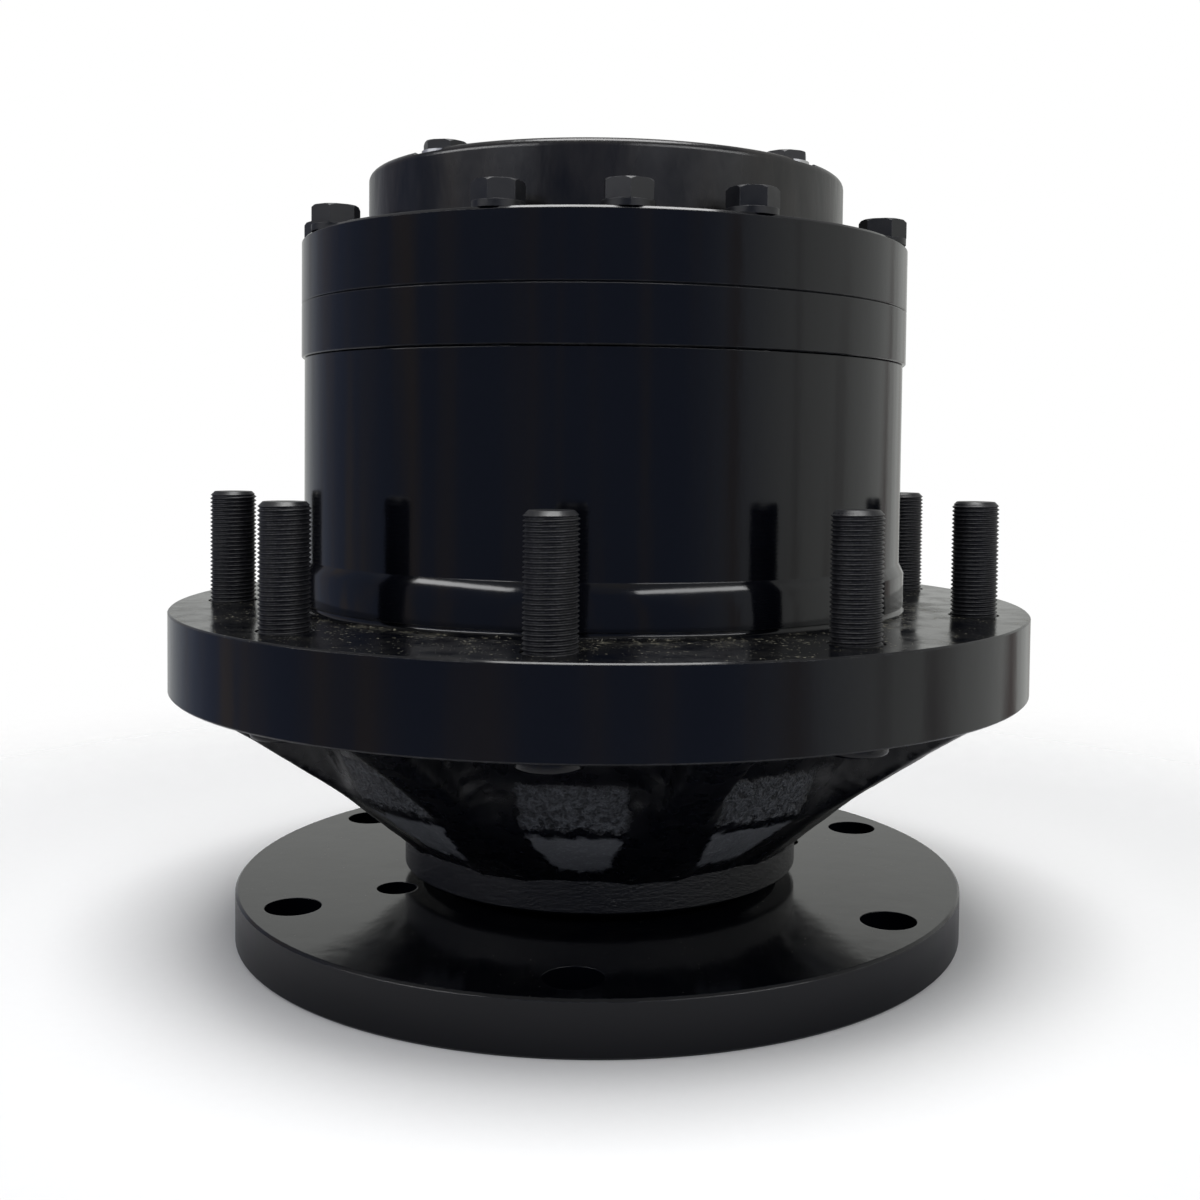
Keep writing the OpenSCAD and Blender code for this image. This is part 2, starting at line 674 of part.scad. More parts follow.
module ring_gear() {
  pitch_r = ring_pitch_r;
  groove_r = sleeve_d / 2 - o_ring_groove;
  sleeve_low = sleeve_z + loose;
  color(black) difference() {
    union() {
      disc(sleeve_d / 2, sleeve_low, sleeve_top, 1, 1);
      disc(ring_d / 2, ring_z, cover_z, seam_edge, seam_edge);
    }
    translate([0, 0, sleeve_low - over]) linear_extrude(sleeve_top - sleeve_low + 2 * over)
      polygon(gear_outline(ring_teeth, pitch_r - gear_module * 0.94,
        ring_root_r, -tooth_gap, 0));
    for (z = [ring_z - o_ring_gap, cover_z + o_ring_gap])
      ring(groove_r, sleeve_d / 2 + over, z - o_ring_groove_w / 2, z + o_ring_groove_w / 2);
    at_cover_bolts() hole(cover_bolt_d + 2 * hole_gap, ring_z, cover_z);
    at_cover_dowels() hole(dowel_d, ring_z, cover_z);
  }
}

module o_ring(r, section, z) {
  rotate_extrude() translate([r, z]) circle(d = section, $fn = 24);
}

module ring_gear_o_rings() {
  color(rubber) for (z = [ring_z - o_ring_gap, cover_z + o_ring_gap])
    o_ring((sleeve_d - o_ring_d) / 2, o_ring_d, z);
}

module cover() {
  room_r = cap_d / 2 - cap_wall;
  room_top = cap_top - cap_top_t;
  color(black) difference() {
    union() {
      disc(ring_d / 2, cover_z, cover_top, seam_edge, edge);
      rounded_disc(cap_d / 2, cover_top - 1, cap_top, cap_round);
    }
    blind_hole(sleeve_d + 2 * slip, sleeve_top + loose, cover_z);
    blind_hole(2 * room_r, room_top, sleeve_top);
    hole(2 * disconnect_spigot_r, room_top, cap_top);
    at_cover_bolts() hole(cover_bolt_d + 2 * hole_gap, cover_z, cover_top);
    at_cover_dowels() blind_hole(dowel_d, cover_z + dowel_reach + tap_room / 2, cover_z);
    at_plugs() {
      hole(plug_hole_d, room_top, cap_top);
      blind_hole(2 * plug_spot_r, cap_top - plug_spot_depth, cap_top);
    }
    around(2, plug_turn, disconnect_bolt_r)
      blind_hole(disconnect_bolt_d, cap_top - disconnect_bolt_reach - tap_room / 2, cap_top);
  }
}

module cover_bolts() {
  seat = cover_top + cover_washer_t;
  color(oxide) at_cover_bolts() {
    translate([0, 0, ring_z - cover_bolt_reach])
      cylinder(d = cover_bolt_d, h = seat - ring_z + cover_bolt_reach + 1);
    translate([0, 0, seat]) hex_head(bolt_head_af, bolt_head_h);
  }
}

module cover_bolt_washers() {
  color(oxide) at_cover_bolts()
    ring(cover_bolt_d / 2 + hole_gap, cover_washer_r, cover_top, cover_top + cover_washer_t);
}

module cover_dowels() {
  color(steel) at_cover_dowels()
    disc(dowel_d / 2, ring_z - dowel_reach, cover_z + dowel_reach, 0.5, 0.5);
}

module oil_plugs() {
  color(oxide) at_plugs() {
    translate([0, 0, cap_top - cap_top_t + 1])
      cylinder(d = plug_hole_d - 2 * slip, h = plug_seat_z - cap_top + cap_top_t);
    translate([0, 0, plug_seat_z]) hex_head(plug_head_af, plug_head_h);
  }
}

module oil_plug_seals() {
  color(steel) at_plugs()
    ring(plug_hole_d / 2, plug_hole_d / 2 + plug_washer_w, plug_seat_z - plug_washer_t,
      plug_seat_z);
}

module disconnect_cap() {
  z = cap_top;
  color(black) difference() {
    union() {
      disc(disconnect_d / 2, z, z + disconnect_t, 0, 1);
      disc(disconnect_spigot_r - slip, z - cap_top_t, z + 1, 1, 0);
    }
    blind_hole(2 * plunger_r, z + disconnect_t / 2, z - cap_top_t);
    ring(disconnect_spigot_r - disconnect_groove, disconnect_spigot_r + over,
      disconnect_ring_z - disconnect_groove_w / 2, disconnect_ring_z + disconnect_groove_w / 2);
    around(2, plug_turn, disconnect_bolt_r)
      hole(disconnect_bolt_d + 2 * hole_gap, z, z + disconnect_t);
  }
}

module disconnect_cap_bolts() {
  z = cap_top + disconnect_t;
  color(oxide) around(2, plug_turn, disconnect_bolt_r) {
    translate([0, 0, cap_top - disconnect_bolt_reach])
      cylinder(d = disconnect_bolt_d - 2 * slip, h = disconnect_t + disconnect_bolt_reach + 0.5);
    translate([0, 0, z]) hex_head(disconnect_head_af, disconnect_head_h);
  }
}

module disconnect_o_ring() {
  color(rubber)
    o_ring(disconnect_spigot_r - slip - disconnect_ring_d / 2, disconnect_ring_d, disconnect_ring_z);
}

// Button that keeps the input shaft from lifting
module disconnect_plunger() {
  low = shaft_top + loose;
  color(steel) union() {
    disc(plunger_r - slip, low, cap_top + 2, 0, 0.5);
    disc(plunger_foot_r, low, cap_top - cap_top_t - 1, 0.5, 0.5);
  }
}

// Sleeve that takes the keyed motor shaft below and the splined input shaft above
module input_coupling() {
  color(steel) difference() {
    disc(coupling_r, coupling_z, coupling_top, 1, 1);
    blind_hole(motor_shaft_d, coupling_z + coupling_depth, coupling_z);
    translate([0, -motor_key_w / 2, coupling_z - over])
      cube([motor_shaft_d / 2 + key_h, motor_key_w, coupling_depth + over]);
    spline(coupling_spline_count, coupling_spline_r + 0.1, coupling_spline_depth,
      coupling_z + coupling_depth + 2, coupling_top + over);
  }
}

module input_shaft() {
  sun_r = gear_module * input_sun_teeth / 2;
  color(steel) difference() {
    union() {
      spline(coupling_spline_count, coupling_spline_r, coupling_spline_depth,
        coupling_z + coupling_depth + 3, coupling_top + 4);
      disc(shaft_r, coupling_top + 3, input_z - 0.5, 1, 0);
      gear_teeth(input_sun_teeth, sun_phase(planet_turns[0], input_sun_teeth,
        input_planet_teeth), input_z - 0.8, input_top + 0.8);
      disc(shaft_r - 2, input_top, shaft_top, 0, 1);
    }
    ring(shaft_snap_r, shaft_r + over, coupling_top + 0.6, coupling_top + 2);
  }
}

module coupling_retaining_ring() {
  color(steel) split_ring(shaft_snap_r + slip, shaft_snap_r + 4.2, coupling_top + 0.7,
    coupling_top + 1.9, 3);
}

module input_carrier() {
  z = input_plate_z;
  color(oxide) difference() {
    disc(carrier_r - 2, z, z + input_plate_t, edge, edge);
    spline(sun_spline_count, sun_spline_r + 0.1, sun_spline_depth, z - over,
      z + input_plate_t + over);
    around(3, 90 + planet_turns[0], input_centre) hole(2 * input_pin_r, z, z + input_plate_t);
    around(3, 150 + planet_turns[0], input_centre) hole(22, z, z + input_plate_t);
  }
}

module input_planet_pins() {
  color(steel) around(3, 90 + planet_turns[0], input_centre) difference() {
    disc(input_pin_r, input_plate_z, input_top + 5, 0.5, 0.8);
    ring(input_pin_r - 1, input_pin_r + 1, input_top + washer_t + 0.1, input_top + washer_t + 1.5);
  }
}

module input_pin_rings() {
  color(steel) around(3, 90 + planet_turns[0], input_centre)
    ring(input_pin_r - 0.95, input_pin_r + 2.4, input_top + washer_t + 0.2,
      input_top + washer_t + 1.4);
}

module input_thrust_washers() {
  color(bronze) around(3, 90 + planet_turns[0], input_centre)
    for (z = [input_z - washer_t, input_top + 0.1])
      ring(input_pin_r + 0.1, input_pin_r + 5.5, z, z + washer_t - 0.1);
}

module output_sun_gear() {
  color(steel) difference() {
    union() {
      gear_teeth(output_sun_teeth, sun_phase(planet_turns[0], output_sun_teeth,
        output_planet_teeth), output_z - 0.5, output_top + 0.5);
      disc(sun_collar_r, output_top, input_plate_z, 0, 0);
      spline(sun_spline_count, sun_spline_r, sun_spline_depth, input_plate_z - 1,
        input_plate_z + input_plate_t);
    }
    hole(2 * sun_bore_r, output_z - 1, input_plate_z + input_plate_t);
  }
}

module sun_thrust_washer() {
  color(bronze)
    ring(sun_collar_r + 0.1, sun_collar_r + 16, input_plate_z - thrust_t, input_plate_z);
}

module planet(index, teeth, centre, bore_r, z0, z1) {
  turn = planet_turns[index];
  color(steel) rotate([0, 0, turn]) translate([centre, 0, 0]) rotate([0, 0, -turn])
    difference() {
      gear_teeth(teeth, planet_phase(turn, teeth), z0, z1);
      hole(2 * bore_r, z0, z1);
    }
}

module needles(index, centre, pin_r, needle_r, z0, z1) {
  turn = planet_turns[index];
  color(steel) rotate([0, 0, turn]) translate([centre, 0, 0])
    for (i = [0:needle_count - 1]) rotate([0, 0, i * 360 / needle_count])
      translate([pin_r + needle_r, 0, z0 + 1]) cylinder(r = needle_r - 0.04, h = z1 - z0 - 2, $fn = 24);
}

module output_planet(i) {
  planet(i, output_planet_teeth, output_centre, output_pin_r + 2 * output_needle_r,
    output_z + 0.1, output_top - 0.1);
}
module output_needles(i) {
  needles(i, output_centre, output_pin_r, output_needle_r, output_z, output_top);
}
module input_planet(i) {
  planet(i, input_planet_teeth, input_centre, input_pin_r + 2 * input_needle_r,
    input_z + 0.1, input_top - 0.1);
}
module input_needles(i) {
  needles(i, input_centre, input_pin_r, input_needle_r, input_z, input_top);
}

spindle();
bearing_cone(inboard);  // inboard_bearing_cone
bearing_cone(outboard);  // outboard_bearing_cone
nut_lock_washer();
bearing_nut();
output_carrier();
output_planet_pins();
output_thrust_washers();
carrier_retaining_ring();
hub_casting();
wheel_studs();
shaft_seal();
bearing_cup(inboard);  // inboard_bearing_cup
bearing_cup(outboard);  // outboard_bearing_cup
ring_gear();
ring_gear_o_rings();
cover();
cover_bolts();
cover_bolt_washers();
cover_dowels();
oil_plugs();
oil_plug_seals();
disconnect_cap();
disconnect_cap_bolts();
disconnect_o_ring();
disconnect_plunger();
input_coupling();
input_shaft();
coupling_retaining_ring();
input_carrier();
input_planet_pins();
input_pin_rings();
input_thrust_washers();
output_sun_gear();
sun_thrust_washer();
output_planet(0);  // output_planet_1
output_planet(1);  // output_planet_2
output_planet(2);  // output_planet_3
output_needles(0);  // output_needles_1
output_needles(1);  // output_needles_2
output_needles(2);  // output_needles_3
input_planet(0);  // input_planet_1
input_planet(1);  // input_planet_2
input_planet(2);  // input_planet_3
input_needles(0);  // input_needles_1
input_needles(1);  // input_needles_2
input_needles(2);  // input_needles_3
bearing_rollers(inboard);  // inboard_rollers
bearing_cage(inboard);  // inboard_cage
bearing_rollers(outboard);  // outboard_rollers
bearing_cage(outboard);  // outboard_cage
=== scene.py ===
# %% [markdown]
# This lesson dresses a planetary wheel drive, a torque hub, in Blender. Its pieces come ready in
# size and place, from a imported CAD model, and nothing here moves or resizes them. What is left for
# Blender is what CAD doesn't hold: the threads of the wheel studs, the rough skin of the cast
# bell, the black enamel with its dust, the oxide on the screws, and the light of the studio.

# %% Load the frame
import json
import math
import bpy
from mathutils import Euler, Matrix, Vector

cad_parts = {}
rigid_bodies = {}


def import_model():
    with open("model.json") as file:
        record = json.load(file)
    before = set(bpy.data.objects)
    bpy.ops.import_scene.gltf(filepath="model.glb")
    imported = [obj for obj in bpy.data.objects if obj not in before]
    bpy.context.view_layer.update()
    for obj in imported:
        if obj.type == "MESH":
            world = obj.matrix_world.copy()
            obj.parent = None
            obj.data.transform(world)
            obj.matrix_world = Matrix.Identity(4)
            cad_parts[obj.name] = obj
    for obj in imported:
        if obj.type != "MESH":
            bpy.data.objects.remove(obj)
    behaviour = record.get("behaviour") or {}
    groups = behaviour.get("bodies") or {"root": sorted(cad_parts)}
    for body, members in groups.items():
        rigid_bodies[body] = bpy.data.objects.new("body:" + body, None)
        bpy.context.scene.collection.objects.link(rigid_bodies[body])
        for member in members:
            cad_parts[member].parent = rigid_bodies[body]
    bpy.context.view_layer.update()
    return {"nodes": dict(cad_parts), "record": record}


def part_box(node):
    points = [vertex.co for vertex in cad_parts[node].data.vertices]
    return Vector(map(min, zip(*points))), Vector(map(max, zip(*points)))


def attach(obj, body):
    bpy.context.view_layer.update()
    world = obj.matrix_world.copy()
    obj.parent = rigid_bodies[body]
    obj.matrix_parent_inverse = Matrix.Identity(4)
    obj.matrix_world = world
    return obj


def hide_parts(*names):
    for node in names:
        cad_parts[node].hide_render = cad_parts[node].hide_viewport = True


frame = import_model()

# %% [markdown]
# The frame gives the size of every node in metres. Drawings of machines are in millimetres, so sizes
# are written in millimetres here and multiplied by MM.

MM = 0.001
mounts = {mount["name"]: mount for mount in frame["record"]["mounts"]}
slot_of = {part["node"]: part["material_slot"] for part in frame["record"]["subparts"]}

FLANGE_TOP = mounts["wheel_face"]["pos_m"][2]
FLANGE_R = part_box("hub_casting")[1].x
STUD_COUNT = mounts["wheel_studs"]["dims"]["count"]
STUD_CIRCLE_R = mounts["wheel_studs"]["dims"]["pcd_mm"] * MM / 2
STUD_R = mounts["wheel_studs"]["dims"]["stud_r_mm"] * MM
STUD_LOW, STUD_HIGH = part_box("wheel_studs")[0].z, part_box("wheel_studs")[1].z


def pattern_turn(node, count):
    """Angle of the first copy in a ring of equal copies, read from the CAD node's own points."""
    angles = [count * math.atan2(v.co.y, v.co.x) for v in frame["nodes"][node].data.vertices]
    return math.atan2(sum(map(math.sin, angles)), sum(map(math.cos, angles))) / count


STUD_TURN = pattern_turn("wheel_studs", STUD_COUNT)
print("flange radius", round(FLANGE_R / MM, 2), "stud turn", round(math.degrees(STUD_TURN), 2))

# %% [markdown]
# The photograph was taken from a little above the middle of the hub, close to it, with the hub
# left of the lens axis. The fitted camera is written as a real place and a real turn. The lens
# axis didn't pass through the middle of the picture, so the frame is shifted and not the aim.

# %% Camera at the photograph's place
CAMERA_BACK = 524 * MM
CAMERA_UP = 173 * MM
CAMERA_PITCH = math.radians(2.32)
CAMERA_YAW = math.radians(1.73)
CAMERA_ROLL = math.radians(0.66)
PICTURE_PX = 1200
FOCAL_PX = 1424
AXIS_PX = (647.1, 503.3)
SENSOR_MM = 36
NEAR_CLIP = 20 * MM

camera_data = bpy.data.cameras.new("camera")
camera_data.sensor_width = SENSOR_MM
camera_data.lens = FOCAL_PX / PICTURE_PX * SENSOR_MM
camera_data.shift_x = (PICTURE_PX / 2 - AXIS_PX[0]) / PICTURE_PX
camera_data.shift_y = (AXIS_PX[1] - PICTURE_PX / 2) / PICTURE_PX
camera_data.clip_start = NEAR_CLIP
camera = bpy.data.objects.new("camera", camera_data)
bpy.context.collection.objects.link(camera)
camera.location = (0, -CAMERA_BACK, CAMERA_UP)
aim = Euler((math.pi / 2 - CAMERA_PITCH, 0, -CAMERA_YAW)).to_matrix()
camera.rotation_euler = (aim @ Matrix.Rotation(CAMERA_ROLL, 3, "Z")).to_euler()
bpy.context.scene.camera = camera
print("lens", round(camera_data.lens, 1), "mm")

# %% [markdown]
# Operators act on whatever is selected, and the frame's nodes are selected after loading. These
# helpers always start from an empty selection. The outline of a turned piece is traced as by
# hand: one corner is placed, and each next one is extruded from it.

# %% Helpers for modelling with operators
def select_only(*pieces):
    for piece in bpy.data.objects:
        piece.select_set(False)
    for piece in pieces:
        piece.select_set(True)
    bpy.context.view_layer.objects.active = pieces[0]


def edit(piece):
    """Opens a piece in edit mode with all of it selected."""
    select_only(piece)
    bpy.ops.object.mode_set(mode="EDIT")
    bpy.ops.mesh.select_mode(type="VERT")
    bpy.ops.mesh.select_all(action="SELECT")


def leave_edit():
    bpy.ops.object.mode_set(mode="OBJECT")


def trace(name, outline, closed=False):
    """A chain of edges through the outline's corners, each given as (radius, height)."""
    for piece in bpy.data.objects:
        piece.select_set(False)
    first_r, first_z = outline[0]
    bpy.ops.mesh.primitive_plane_add(size=MM, location=(0, 0, 0))
    piece = bpy.context.active_object
    piece.name = piece.data.name = name
    edit(piece)
    bpy.ops.mesh.merge(type="CENTER")
    bpy.ops.transform.translate(value=(first_r, 0, first_z))
    here = outline[0]
    for corner in outline[1:]:
        step = (corner[0] - here[0], 0, corner[1] - here[1])
        bpy.ops.mesh.extrude_vertices_move(TRANSFORM_OT_translate={"value": step})
        here = corner
    if closed:
        bpy.ops.mesh.select_all(action="SELECT")
        bpy.ops.mesh.edge_face_add()
    leave_edit()
    return piece


def tidy_normals(piece, merge=0.01 * MM):
    """Merges points that lie closer than merge, then turns all faces outwards."""
    edit(piece)
    bpy.ops.mesh.remove_doubles(threshold=merge)
    bpy.ops.mesh.normals_make_consistent(inside=False)
    leave_edit()


def apply_modifier(piece, kind, **settings):
    select_only(piece)
    modifier = piece.modifiers.new(kind.lower(), kind)
    for key, value in settings.items():
        setattr(modifier, key, value)
    bpy.ops.object.modifier_apply(modifier=modifier.name)


def triangles(piece):
    return sum(len(face.vertices) - 2 for face in piece.data.polygons)


print("helpers ready")

# %% [markdown]
# Most new pieces here are turned: an outline goes once around the axis. The Spin operator does
# that, and afterwards the points on the axis and along the seam are merged and the normals are
# recalculated, because Spin can leave a shape inside out.

# %% Helper for turned pieces
def spin_solid(name, outline, steps, closed=False):
    """A closed turned solid. An open outline starts and ends on the axis."""
    piece = trace(name, outline + outline[:1] if closed else outline)
    edit(piece)
    bpy.ops.mesh.spin(steps=steps, angle=2 * math.pi, center=(0, 0, 0), axis=(0, 0, 1))
    leave_edit()
    tidy_normals(piece)
    return piece


def cut(piece, tool, operation):
    """Boolean of two closed pieces; the tool is removed afterwards."""
    apply_modifier(piece, "BOOLEAN", operation=operation, object=tool, solver="EXACT")
    bpy.data.objects.remove(tool)


def smooth_by_angle(piece, degrees):
    select_only(piece)
    bpy.ops.object.shade_smooth_by_angle(angle=math.radians(degrees))


def copy_turned(piece, name, angle, offset=(0, 0, 0)):
    """A copy with its own mesh, moved by offset and then turned about Z, all in its mesh."""
    select_only(piece)
    bpy.ops.object.duplicate(linked=False)
    twin = bpy.context.active_object
    twin.name = twin.data.name = name
    edit(twin)
    bpy.ops.transform.translate(value=offset)
    bpy.ops.transform.rotate(value=-angle, orient_axis="Z", center_override=(0, 0, 0))
    leave_edit()
    return twin


def report(piece):
    low = [round(min(v.co[i] for v in piece.data.vertices) / MM, 1) for i in range(3)]
    high = [round(max(v.co[i] for v in piece.data.vertices) / MM, 1) for i in range(3)]
    print(piece.name, triangles(piece), "triangles, mm", low, high)


# %% [markdown]
# A wheel stud is a pressed-in bolt. Its head sits under the flange, its shank is hidden in the
# flange, and its fine thread, 18 to the inch, stands up to take the wheel nut. CAD holds it as a
# plain cylinder. A thread could be faked with a bump, but it shows at the outline against the
# white, so it is cut for real: the outline of one pitch is traced and wound upwards by the Screw
# modifier, and both open ends are filled.

# %% Thread wound from one pitch
INCH = 25.4 * MM
THREADS_PER_INCH = 18
PITCH = INCH / THREADS_PER_INCH
THREAD_DEPTH = 0.45 * PITCH
CREST = PITCH / 8
ROOT = PITCH / 5
THREAD_STEPS = 36
SPARE_TURNS = 2
CLEAR = 1 * MM
SAME_POINT = 0.001 * MM

thread_low = FLANGE_TOP - CLEAR
turns = math.ceil((STUD_HIGH - thread_low) / PITCH) + 2 * SPARE_TURNS
start = thread_low - SPARE_TURNS * PITCH
flank = (PITCH - CREST - ROOT) / 2
root_r = STUD_R - THREAD_DEPTH
thread = trace("thread", [
    (root_r, start), (root_r, start + ROOT), (STUD_R, start + ROOT + flank),
    (STUD_R, start + ROOT + flank + CREST), (root_r, start + PITCH)])
apply_modifier(thread, "SCREW", angle=2 * math.pi, screw_offset=PITCH, iterations=turns,
               steps=THREAD_STEPS, render_steps=THREAD_STEPS, use_merge_vertices=True,
               merge_threshold=SAME_POINT, use_smooth_shade=False)
edit(thread)
bpy.ops.mesh.remove_doubles(threshold=5 * SAME_POINT)
bpy.ops.mesh.select_all(action="DESELECT")
bpy.ops.mesh.select_mode(type="EDGE")
bpy.ops.mesh.select_non_manifold()
bpy.ops.mesh.fill_holes(sides=0)
leave_edit()
tidy_normals(thread, SAME_POINT)
report(thread)

# %% [markdown]
# A turned blank trims the thread, so that its last turns run out into the chamfer as on a real
# stud. The lower half, with the shank and the dimpled head, is a second turned piece. The cold
# formed head has soft edges, which a Bevel on its sharp edges gives. The halves are joined, and
# the finished stud is copied nine times.

# %% Wheel studs
STUD_SIDES = 48
END_CHAMFER = 1.5 * MM
HEAD_R, HEAD_EDGE, HEAD_ROUND = 10.15 * MM, 0.8 * MM, 0.4 * MM
SHANK_R = 8.7 * MM
DIMPLE_R, DIMPLE_FLOOR_R, DIMPLE_DEPTH = 5 * MM, 3 * MM, 1 * MM
SPARE = 0.5 * MM
FLANGE_LOW = 88.5 * MM

top_blank = spin_solid("top_blank", [
    (0, thread_low), (STUD_R + SPARE, thread_low),
    (STUD_R + SPARE, STUD_HIGH - END_CHAMFER - SPARE), (STUD_R - END_CHAMFER, STUD_HIGH),
    (0, STUD_HIGH)], STUD_SIDES)
cut(thread, top_blank, "INTERSECT")
stud = spin_solid("stud_model", [
    (0, STUD_LOW + DIMPLE_DEPTH), (DIMPLE_FLOOR_R, STUD_LOW + DIMPLE_DEPTH), (DIMPLE_R, STUD_LOW),
    (HEAD_R - HEAD_EDGE, STUD_LOW), (HEAD_R, STUD_LOW + HEAD_EDGE), (HEAD_R, FLANGE_LOW),
    (SHANK_R, FLANGE_LOW), (SHANK_R, FLANGE_TOP - SPARE), (0, FLANGE_TOP - SPARE)], STUD_SIDES)
apply_modifier(stud, "BEVEL", width=HEAD_ROUND, segments=2, limit_method="ANGLE",
               angle_limit=math.radians(25))
select_only(stud, thread)
bpy.ops.object.join()
smooth_by_angle(stud, 28)
studs = [copy_turned(stud, f"wheel_stud_{k + 1}", STUD_TURN + k * 2 * math.pi / STUD_COUNT,
                     (STUD_CIRCLE_R, 0, 0)) for k in range(STUD_COUNT)]
bpy.data.objects.remove(stud)
for piece in studs:
    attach(piece, "hub")
    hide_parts("wheel_studs")
report(studs[0])

# %% [markdown]
# The hub is one iron casting with two skins. The flange's rim and face, the pilot and the drum are
# turned; the bell below the flange, with its nine ribs, is as cast: its inner corners are filled
# with soft rounds, and its skin is rough. A round where a flat rib meets a cone is hard to build
# in CAD, so the casting is parted here. The turned part is a copy of the CAD mesh, merged and with
# the bell cut out of it. Paint has run together at the pilot's foot and stands there as a hollow
# bead, which shows as a bright line. The bead is turned and united with the rest.

# %% Turned part of the hub
CORE_R = 70 * MM
COLLAR_R, COLLAR_TOP = 71.5 * MM, 33.5 * MM
CAST_RIM_R = 149.2 * MM
CAST_RECESS = 0.3 * MM
PILOT_R = mounts["wheel_pilot"]["dims"]["r_mm"] * MM
BEAD = 1.7 * MM
BEAD_R = PILOT_R - 0.9 * MM
TURN_STEPS = 180

select_only(frame["nodes"]["hub_casting"])
bpy.ops.object.duplicate(linked=False)
turned = bpy.context.active_object
turned.name = turned.data.name = "hub_turned"
select_only(turned)
bpy.ops.object.parent_clear(type="CLEAR_KEEP_TRANSFORM")
bpy.ops.mesh.customdata_custom_splitnormals_clear()
tidy_normals(turned)
room = spin_solid("bell_room", [
    (CORE_R, COLLAR_TOP + SPARE), (FLANGE_R + CLEAR, COLLAR_TOP + SPARE),
    (FLANGE_R + CLEAR, FLANGE_LOW - CLEAR), (CAST_RIM_R, FLANGE_LOW - CLEAR),
    (CAST_RIM_R, FLANGE_LOW + CAST_RECESS), (CORE_R, FLANGE_LOW + CAST_RECESS)],
    TURN_STEPS, closed=True)
cut(turned, room, "DIFFERENCE")


def hollow_arc(degrees):
    """A point of the bead's hollow face, from its foot at 90 degrees to its top at 0."""
    a = math.radians(degrees)
    return BEAD_R + BEAD * (1 - math.cos(a)), FLANGE_TOP + BEAD * (1 - math.sin(a))


bead = spin_solid("foot_bead", [
    (BEAD_R - SPARE, FLANGE_TOP - SPARE), (BEAD_R + BEAD, FLANGE_TOP - SPARE)]
    + [hollow_arc(degrees) for degrees in range(90, -1, -15)]
    + [(BEAD_R - SPARE, FLANGE_TOP + BEAD)], TURN_STEPS, closed=True)
cut(turned, bead, "UNION")
smooth_by_angle(turned, 25)
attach(turned, "hub")
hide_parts("hub_casting")
report(turned)

# %% [markdown]
# The bell starts as simple forms that overlap: a turned shell, and ribs. A rib is a traced plate
# pushed out to its thickness. A second, thicker plate lies low along its root, so that the corner
# fills up, and both are copied nine times. A voxel remesh melts all of it into one skin, and
# smoothing then softens the corners. The outlines give radius and height in millimetres.

# %% Cast bell with ribs
BELL = [(97.6, 54.6), (106.7, 72.4)]
BELL_ROUND, FILLET_R = 7, 120.7
INNER_R, FOOT_R = CORE_R / MM - 1, COLLAR_R / MM - 0.3
FOOT_LOW, FOOT_HIGH, PLATE_TOP = 31, 33.3, 96
RIB = [(68, 29), (97.6, 54.1), (129.8, 76.4), (148.5, 88.3), (148.5, 92), (68, 92)]
RIB_ROOT = [(68, 30), (97.6, 54.4), (107, 66), (112, 75), (119, 83), (128, 88.3), (128, 92),
            (68, 92)]
RIB_T, ROOT_T = 17 * MM, 24 * MM
VOXEL = 1.5 * MM
SMOOTH_PASSES = 12

round_into_flange = [(FILLET_R + BELL_ROUND * math.cos(math.radians(a)),
                      FLANGE_LOW / MM - BELL_ROUND + BELL_ROUND * math.sin(math.radians(a)))
                     for a in range(180, 89, -15)]
outline = ([(INNER_R, FOOT_LOW), (FOOT_R, FOOT_LOW), (FOOT_R, FOOT_HIGH)] + BELL
           + round_into_flange + [(CAST_RIM_R / MM, FLANGE_LOW / MM), (CAST_RIM_R / MM, PLATE_TOP),
                                  (INNER_R, PLATE_TOP)])
bell = spin_solid("hub_bell", [(r * MM, z * MM) for r, z in outline], TURN_STEPS, closed=True)


def plate(name, outline, thickness):
    """A flat plate in the XZ plane, half its thickness to each side."""
    made = trace(name, [(r * MM, z * MM) for r, z in outline], closed=True)
    edit(made)
    bpy.ops.transform.translate(value=(0, -thickness / 2, 0))
    bpy.ops.mesh.extrude_region_move(TRANSFORM_OT_translate={"value": (0, thickness, 0)})
    leave_edit()
    tidy_normals(made)
    return made


rib, root = plate("rib", RIB, RIB_T), plate("rib_root", RIB_ROOT, ROOT_T)
ribs = [copy_turned(model, f"{model.name}_{k}", STUD_TURN + (k + 0.5) * 2 * math.pi / STUD_COUNT)
        for k in range(STUD_COUNT) for model in (rib, root)]
bpy.data.objects.remove(rib)
bpy.data.objects.remove(root)
select_only(bell, *ribs)
bpy.ops.object.join()
apply_modifier(bell, "REMESH", mode="VOXEL", voxel_size=VOXEL, use_smooth_shade=True)
apply_modifier(bell, "SMOOTH", factor=0.5, iterations=SMOOTH_PASSES)
report(bell)

# %% [markdown]
# Sand leaves low lumps on a casting. The remeshed skin is fine enough to hold them, so a cloud
# texture pushes it in and out by a tenth of a millimetre or two. A lump of that height shows only
# in reflections; finer grain than this would need far more faces and is left to the material.

# %% Rough skin of the bell
LUMP_WIDTH, LUMP_HEIGHT = 5 * MM, 0.3 * MM

skin = bpy.data.textures.new("cast_skin", "CLOUDS")
skin.noise_scale = LUMP_WIDTH
skin.noise_depth = 2
apply_modifier(bell, "DISPLACE", texture=skin, texture_coords="LOCAL", strength=LUMP_HEIGHT,
               mid_level=0.5)
tidy_normals(bell, SAME_POINT)
select_only(bell)
bpy.ops.object.shade_smooth()
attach(bell, "hub")
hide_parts("hub_casting")
report(bell)
